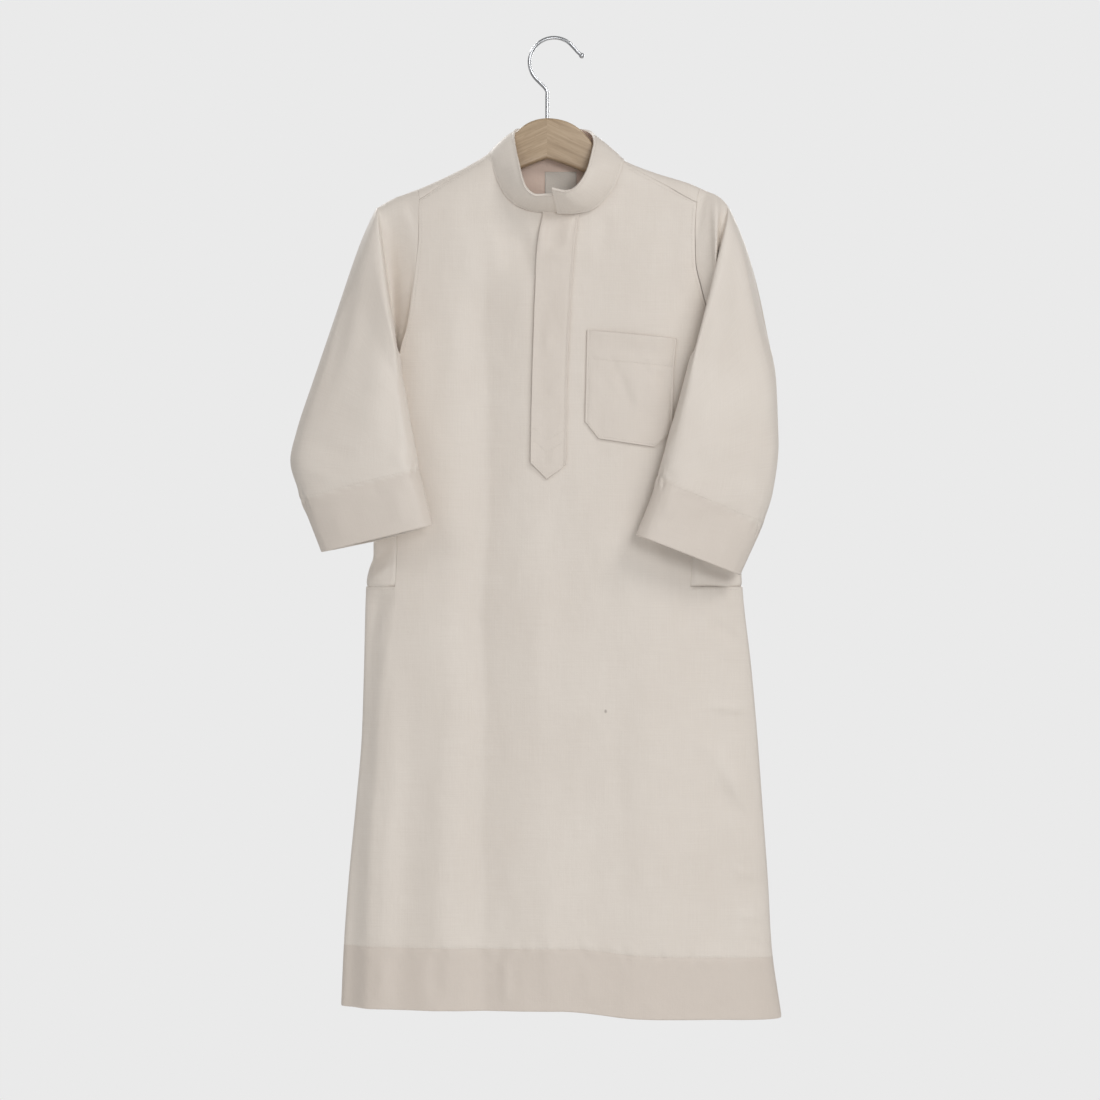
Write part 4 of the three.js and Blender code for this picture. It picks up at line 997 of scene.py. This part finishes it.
def stitchAlong(points, normals, pitch=None):
    points, normals = np.asarray(points), np.asarray(normals)
    pitch = pitch or thread["pitch"]
    run = np.concatenate([[0], np.linalg.norm(np.diff(points, axis=0), axis=1).cumsum()])
    for s in np.arange(pitch / 2, run[-1], pitch):
        place = np.array([np.interp(s, run, points[:, a]) for a in range(3)])
        ahead = np.array([np.interp(min(s + 0.5, run[-1]), run, points[:, a]) for a in range(3)])
        behind = np.array([np.interp(max(s - 0.5, 0), run, points[:, a]) for a in range(3)])
        normal = Vector([np.interp(s, run, normals[:, a]) for a in range(3)]).normalized()
        along = Vector(ahead - behind).normalized()
        over = normal.cross(along).normalized()
        turn = Matrix((along, over, normal)).transposed().to_4x4()
        size = Matrix.Diagonal((thread["length"] / 2 * mm, thread["width"] / 2 * mm, thread["height"] / 2 * mm, 1))
        spot = Matrix.Translation(Vector(place * mm) + normal * 0.05 * mm)
        bmesh.ops.create_icosphere(sewing, subdivisions=1, radius=1, matrix=spot @ turn @ size)


def stitchFront(xs, zs, lift=0.0):
    x, z = np.asarray(xs, float), np.asarray(zs, float)
    points, normals = onFront(x, z, np.full(x.shape, lift))
    stitchAlong(points, normals)


def gridLine(points, normals, columns, distance, fromEnd=True):  # a line across a tube, a set way from its end
    line, lineNormal = [], []
    for k in columns:
        column = points[k][::-1] if fromEnd else points[k]
        normal = normals[k][::-1] if fromEnd else normals[k]
        run = np.concatenate([[0], np.linalg.norm(np.diff(column, axis=0), axis=1).cumsum()])
        line.append([np.interp(distance, run, column[:, a]) for a in range(3)])
        lineNormal.append([np.interp(distance, run, normal[:, a]) for a in range(3)])
    return line, lineNormal


for end, data in ((-1, sleeveRight), (1, sleeveLeft)):
    line, lineNormal = gridLine(data[1], data[2], list(range(data[1].shape[0])) + [0], garment["cuffDepth"])
    stitchAlong(line, lineNormal)
    z = np.linspace(float(yokeFrontZ(seamX[end](-150))) - 2, -298, 60)
    stitchFront(seamX[end](z) - end * 3.2, z)
    z = np.linspace(-486, garment["hipZ"] - 3, 14)
    x = np.linspace(seamX[end](garment["hipZ"]), sideX[end](garment["hipZ"]) - end * 4, 14)
    stitchFront(x, np.full(14, garment["hipZ"] - 2.6))

for side, points in ((-1, frontPoints), (1, backPoints)):
    x = np.linspace(float(sideX[-1](-862)) + 3, float(sideX[1](-870)) - 3, 200)
    z = hemZ(x) + garment["hemDepth"]
    y = bodyY(side, x, z)
    normal = np.stack([0 * x, side + 0 * x, 0 * x], 1)
    stitchAlong(np.stack([x, y, z], 1), normal)

for low, high in ((-126, -64), (68, 132)):
    x = np.linspace(low, high, 30)
    stitchFront(x, yokeFrontZ(x) + 1.6 - 4.2)
x = np.linspace(-125, 131, 60)
z = np.full(60, garment["backYokeZ"] - 3.0)
stitchAlong(np.stack([x, bodyY(1, x, z), z], 1), np.stack([0 * x, 1 + 0 * x, 0 * x], 1))


def rowAt(points, value, table):
    i = int(np.clip(np.searchsorted(table, value), 1, len(table) - 1))
    t = (value - table[i - 1]) / (table[i] - table[i - 1])
    return lerp(points[:, i - 1], points[:, i], t)


for v in (0.075, 0.925):
    stitchAlong(rowAt(collarPoints, v, collarV), rowAt(collarNormal, v, collarV))
endRow = 5
stitchAlong(collarPoints[endRow, 2:-2], collarNormal[endRow, 2:-2])


def stitchPatch(points, normals, inset, sides):  # along the edges of a sewn-on piece
    for which in sides:
        if which == "left":
            row = np.linalg.norm(points[:, 20] - points[0, 20], axis=1)
            i = np.searchsorted(row, inset)
            stitchAlong(points[i, 2:-2], normals[i, 2:-2])
        if which == "right":
            row = np.linalg.norm(points[:, 20] - points[-1, 20], axis=1)
            i = len(row) - np.searchsorted(row[::-1], inset) - 1
            stitchAlong(points[i, 2:-2], normals[i, 2:-2])
        if which == "foot":
            line, lineNormal = gridLine(points, normals, range(1, len(points) - 1), inset * 1.2)
            stitchAlong(line, lineNormal)


stitchPatch(placketPoints, placketNormal, 2.3, ("right", "foot"))
stitchPatch(pocketPoints, pocketNormal, 2.0, ("left", "right", "foot"))
for target in (-375.5, -384.5):
    i = int(np.argmin(np.abs(placketPoints[5, :, 2] - target)))
    stitchAlong(placketPoints[2:-2, i], placketNormal[2:-2, i])
line, lineNormal = gridLine(pocketPoints, pocketNormal, range(1, len(pocketPoints) - 1), 26.5, False)
stitchAlong(line, lineNormal)

stitchMesh = bpy.data.meshes.new("topstitching")
sewing.to_mesh(stitchMesh)
sewing.free()
stitchMesh.shade_smooth()
stitchMesh.materials.append(stitchLook)
topstitching = bpy.data.objects.new("topstitching", stitchMesh)
scene.collection.objects.link(topstitching)
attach(topstitching, "root")
print("stitches ready", len(stitchMesh.polygons))

# ---------------------------------------------------------------- hanger

board = {"thickness": 11.0, "round": 3.2, "curve": 14}
boardOutline = [  # cubic curves: two handles and an end
    ((20, -75.4), (30, -90), (38, -101)), ((46, -110.6), (56, -117), (72, -124.4)),
    ((84, -129), (98, -134.6), (110, -139.4)), ((120, -143), (132, -147.6), (142, -151.4)),
    ((158, -158), (163, -166), (158, -173)), ((154, -178), (148, -178), (142, -176.6)),
    ((126, -170), (108, -163), (92, -156)), ((50, -137), (24, -122), (stemX, -113.6)),
    ((-32, -122), (-56, -134), (-94, -152)), ((-112, -160), (-130, -168.4), (-146, -175.4)),
    ((-152, -178), (-158, -177.4), (-161, -172.6)), ((-165, -166), (-160, -162.4), (-148, -157)),
    ((-136, -152), (-122, -147), (-110, -142.6)), ((-100, -138), (-90, -133), (-80, -128.2)),
    ((-66, -120.6), (-58, -114.6), (-51, -107)), ((-41, -97), (-34, -76), (stemX, -75)),
]


def hangerBoard():
    work = bmesh.new()
    last = np.array([stemX, -75.0])
    ring = []
    for first, second, end in boardOutline:
        first, second, end = np.array(first, float), np.array(second, float), np.array(end, float)
        for t in np.linspace(0, 1, board["curve"], endpoint=False):
            spot = (1 - t) ** 3 * last + 3 * t * (1 - t) ** 2 * first + 3 * t * t * (1 - t) * second + t ** 3 * end
            ring.append(work.verts.new((spot[0] * mm, -board["thickness"] / 2 * mm, spot[1] * mm)))
        last = end
    face = work.faces.new(ring)
    grown = bmesh.ops.extrude_face_region(work, geom=[face])
    moved = [g for g in grown["geom"] if isinstance(g, bmesh.types.BMVert)]
    bmesh.ops.translate(work, verts=moved, vec=(0, board["thickness"] * mm, 0))
    bmesh.ops.recalc_face_normals(work, faces=work.faces)
    rims = [e for e in work.edges if abs(e.verts[0].co.y - e.verts[1].co.y) < 1e-6]
    bmesh.ops.bevel(work, geom=rims, offset=board["round"] * mm, segments=5, affect="EDGES", profile=0.5, material=-1)
    mesh = bpy.data.meshes.new("hangerBoard")
    work.to_mesh(mesh)
    work.free()
    mesh.shade_smooth()
    mesh.materials.append(beech)
    piece = bpy.data.objects.new("hangerBoard", mesh)
    scene.collection.objects.link(piece)
    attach(piece, "root")
    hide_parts("hanger_wood")
    return piece


hook = {"wire": 1.7, "crest": 23.3, "ball": 2.6, "stemFoot": -93, "sides": 20}


def hangerHook():
    centre = hook["wire"] - hook["crest"]
    route = [(stemX, z) for z in (hook["stemFoot"], -84, -74, -64, -55, -50)] + [(-8.2, -46.6), (-13, -41.6)]
    for turn in np.arange(218, 37, -15):
        route.append((hook["crest"] * math.cos(math.radians(turn)), centre + hook["crest"] * math.sin(math.radians(turn))))
    route += [(22.6, -12), (26.2, -15.2)]
    line = catmull([(x, 0, z) for x, z in route], np.linspace(0, len(route) - 1.001, 170), False)
    ahead = np.gradient(line, axis=0)
    ahead = ahead / np.linalg.norm(ahead, axis=1, keepdims=True)
    over = np.stack([-ahead[:, 2], 0 * ahead[:, 0], ahead[:, 0]], 1)
    turn = np.linspace(0, 2 * math.pi, hook["sides"], endpoint=False)
    points = (line[None] + hook["wire"] * (np.cos(turn)[:, None, None] * over[None]
              + np.sin(turn)[:, None, None] * np.array([0, 1.0, 0])))
    facing = np.sign(((points - line[None]) * gridNormals(points, True)).sum(2).mean())
    piece = shell("hangerHook", points, facing, wire, 0, closed=True, slot="wire")
    work = bmesh.new()
    work.from_mesh(piece.data)
    bmesh.ops.holes_fill(work, edges=[e for e in work.edges if e.is_boundary], sides=0)
    bmesh.ops.create_uvsphere(work, u_segments=28, v_segments=18, radius=hook["ball"] * mm,
                              matrix=Matrix.Translation((26.4 * mm, 0, -15.4 * mm)))
    work.to_mesh(piece.data)
    work.free()
    piece.data.shade_smooth()
    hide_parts("hanger_hook")
    return piece


hangerWood = hangerBoard()
hangerWire = hangerHook()
print("hanger ready")

# ---------------------------------------------------------------- floor, light, camera

room = {"eye": (-3.8, -3000, -485), "view": 1045.0, "floor": -1250, "floorSize": 1.3, "backdrop": 0.823,
        "fill": 0.31}


def floorDisc():
    work = bmesh.new()
    bmesh.ops.create_circle(work, cap_ends=True, segments=96, radius=room["floorSize"],
                            matrix=Matrix.Translation((0, 0, room["floor"] * mm)))
    mesh = bpy.data.meshes.new("floor")
    work.to_mesh(mesh)
    work.free()
    g = Graph("paleFloor", (0.78, 0.78, 0.775), 0.9)
    g.feed("Base Color", g.mix(g.noise(g.coords(), 6.0), (0.775, 0.775, 0.77, 1), (0.785, 0.785, 0.78, 1)))
    mesh.materials.append(g.material)
    floor = bpy.data.objects.new("floor", mesh)
    scene.collection.objects.link(floor)


def areaLight(name, place, aim, size, power, tint=(1, 1, 1)):
    lamp = bpy.data.lights.new(name, "AREA")
    lamp.shape = "DISK"
    lamp.size = size
    lamp.energy = power
    lamp.color = tint
    light = bpy.data.objects.new(name, lamp)
    light.location = place
    light.rotation_euler = (Vector(aim) - Vector(place)).to_track_quat("-Z", "Y").to_euler()
    scene.collection.objects.link(light)


floorDisc()
areaLight("keyRight", (1.8, -1.9, 1.7), (0, 0, -0.45), 1.3, 27)
areaLight("keyLeft", (-1.7, -2.0, 1.4), (0, 0, -0.45), 1.3, 8.5)
areaLight("frontSoft", (0.9, -3.0, 0.3), (0, 0, -0.5), 1.1, 21)
areaLight("lowFront", (0.1, -3.0, -0.95), (0, 0, -0.4), 1.0, 12.5)
areaLight("sideLeft", (-2.6, -0.1, -0.3), (0, 0, -0.5), 1.2, 3)
areaLight("sideRight", (2.6, -0.1, -0.3), (0, 0, -0.5), 1.2, 4)
areaLight("backKey", (-1.6, 2.2, 1.5), (0, 0, -0.5), 1.0, 42)
areaLight("backSoft", (0.8, 2.8, 0.4), (0, 0, -0.5), 1.4, 34)

world = bpy.data.worlds.new("studio")
scene.world = world
world.use_nodes = True
nodes, links = world.node_tree.nodes, world.node_tree.links
background = nodes["Background"]
seen = nodes.new("ShaderNodeBackground")
seen.inputs["Color"].default_value = (room["backdrop"],) * 3 + (1,)
background.inputs["Color"].default_value = (1, 0.995, 0.985, 1)
background.inputs["Strength"].default_value = room["fill"]
rays = nodes.new("ShaderNodeLightPath")
mixer = nodes.new("ShaderNodeMixShader")
links.new(rays.outputs["Is Camera Ray"], mixer.inputs[0])
links.new(background.outputs[0], mixer.inputs[1])
links.new(seen.outputs[0], mixer.inputs[2])
links.new(mixer.outputs[0], nodes["World Output"].inputs[0])

camera = bpy.data.cameras.new("camera")
camera.sensor_width = 36
camera.lens = 36 * abs(room["eye"][1]) / room["view"]
camera.clip_end = 30
eye = bpy.data.objects.new("camera", camera)
eye.location = [c * mm for c in room["eye"]]
eye.rotation_euler = (math.pi / 2, 0, 0)
scene.collection.objects.link(eye)
scene.camera = eye
scene.view_settings.view_transform = "Standard"
scene.view_settings.look = "None"
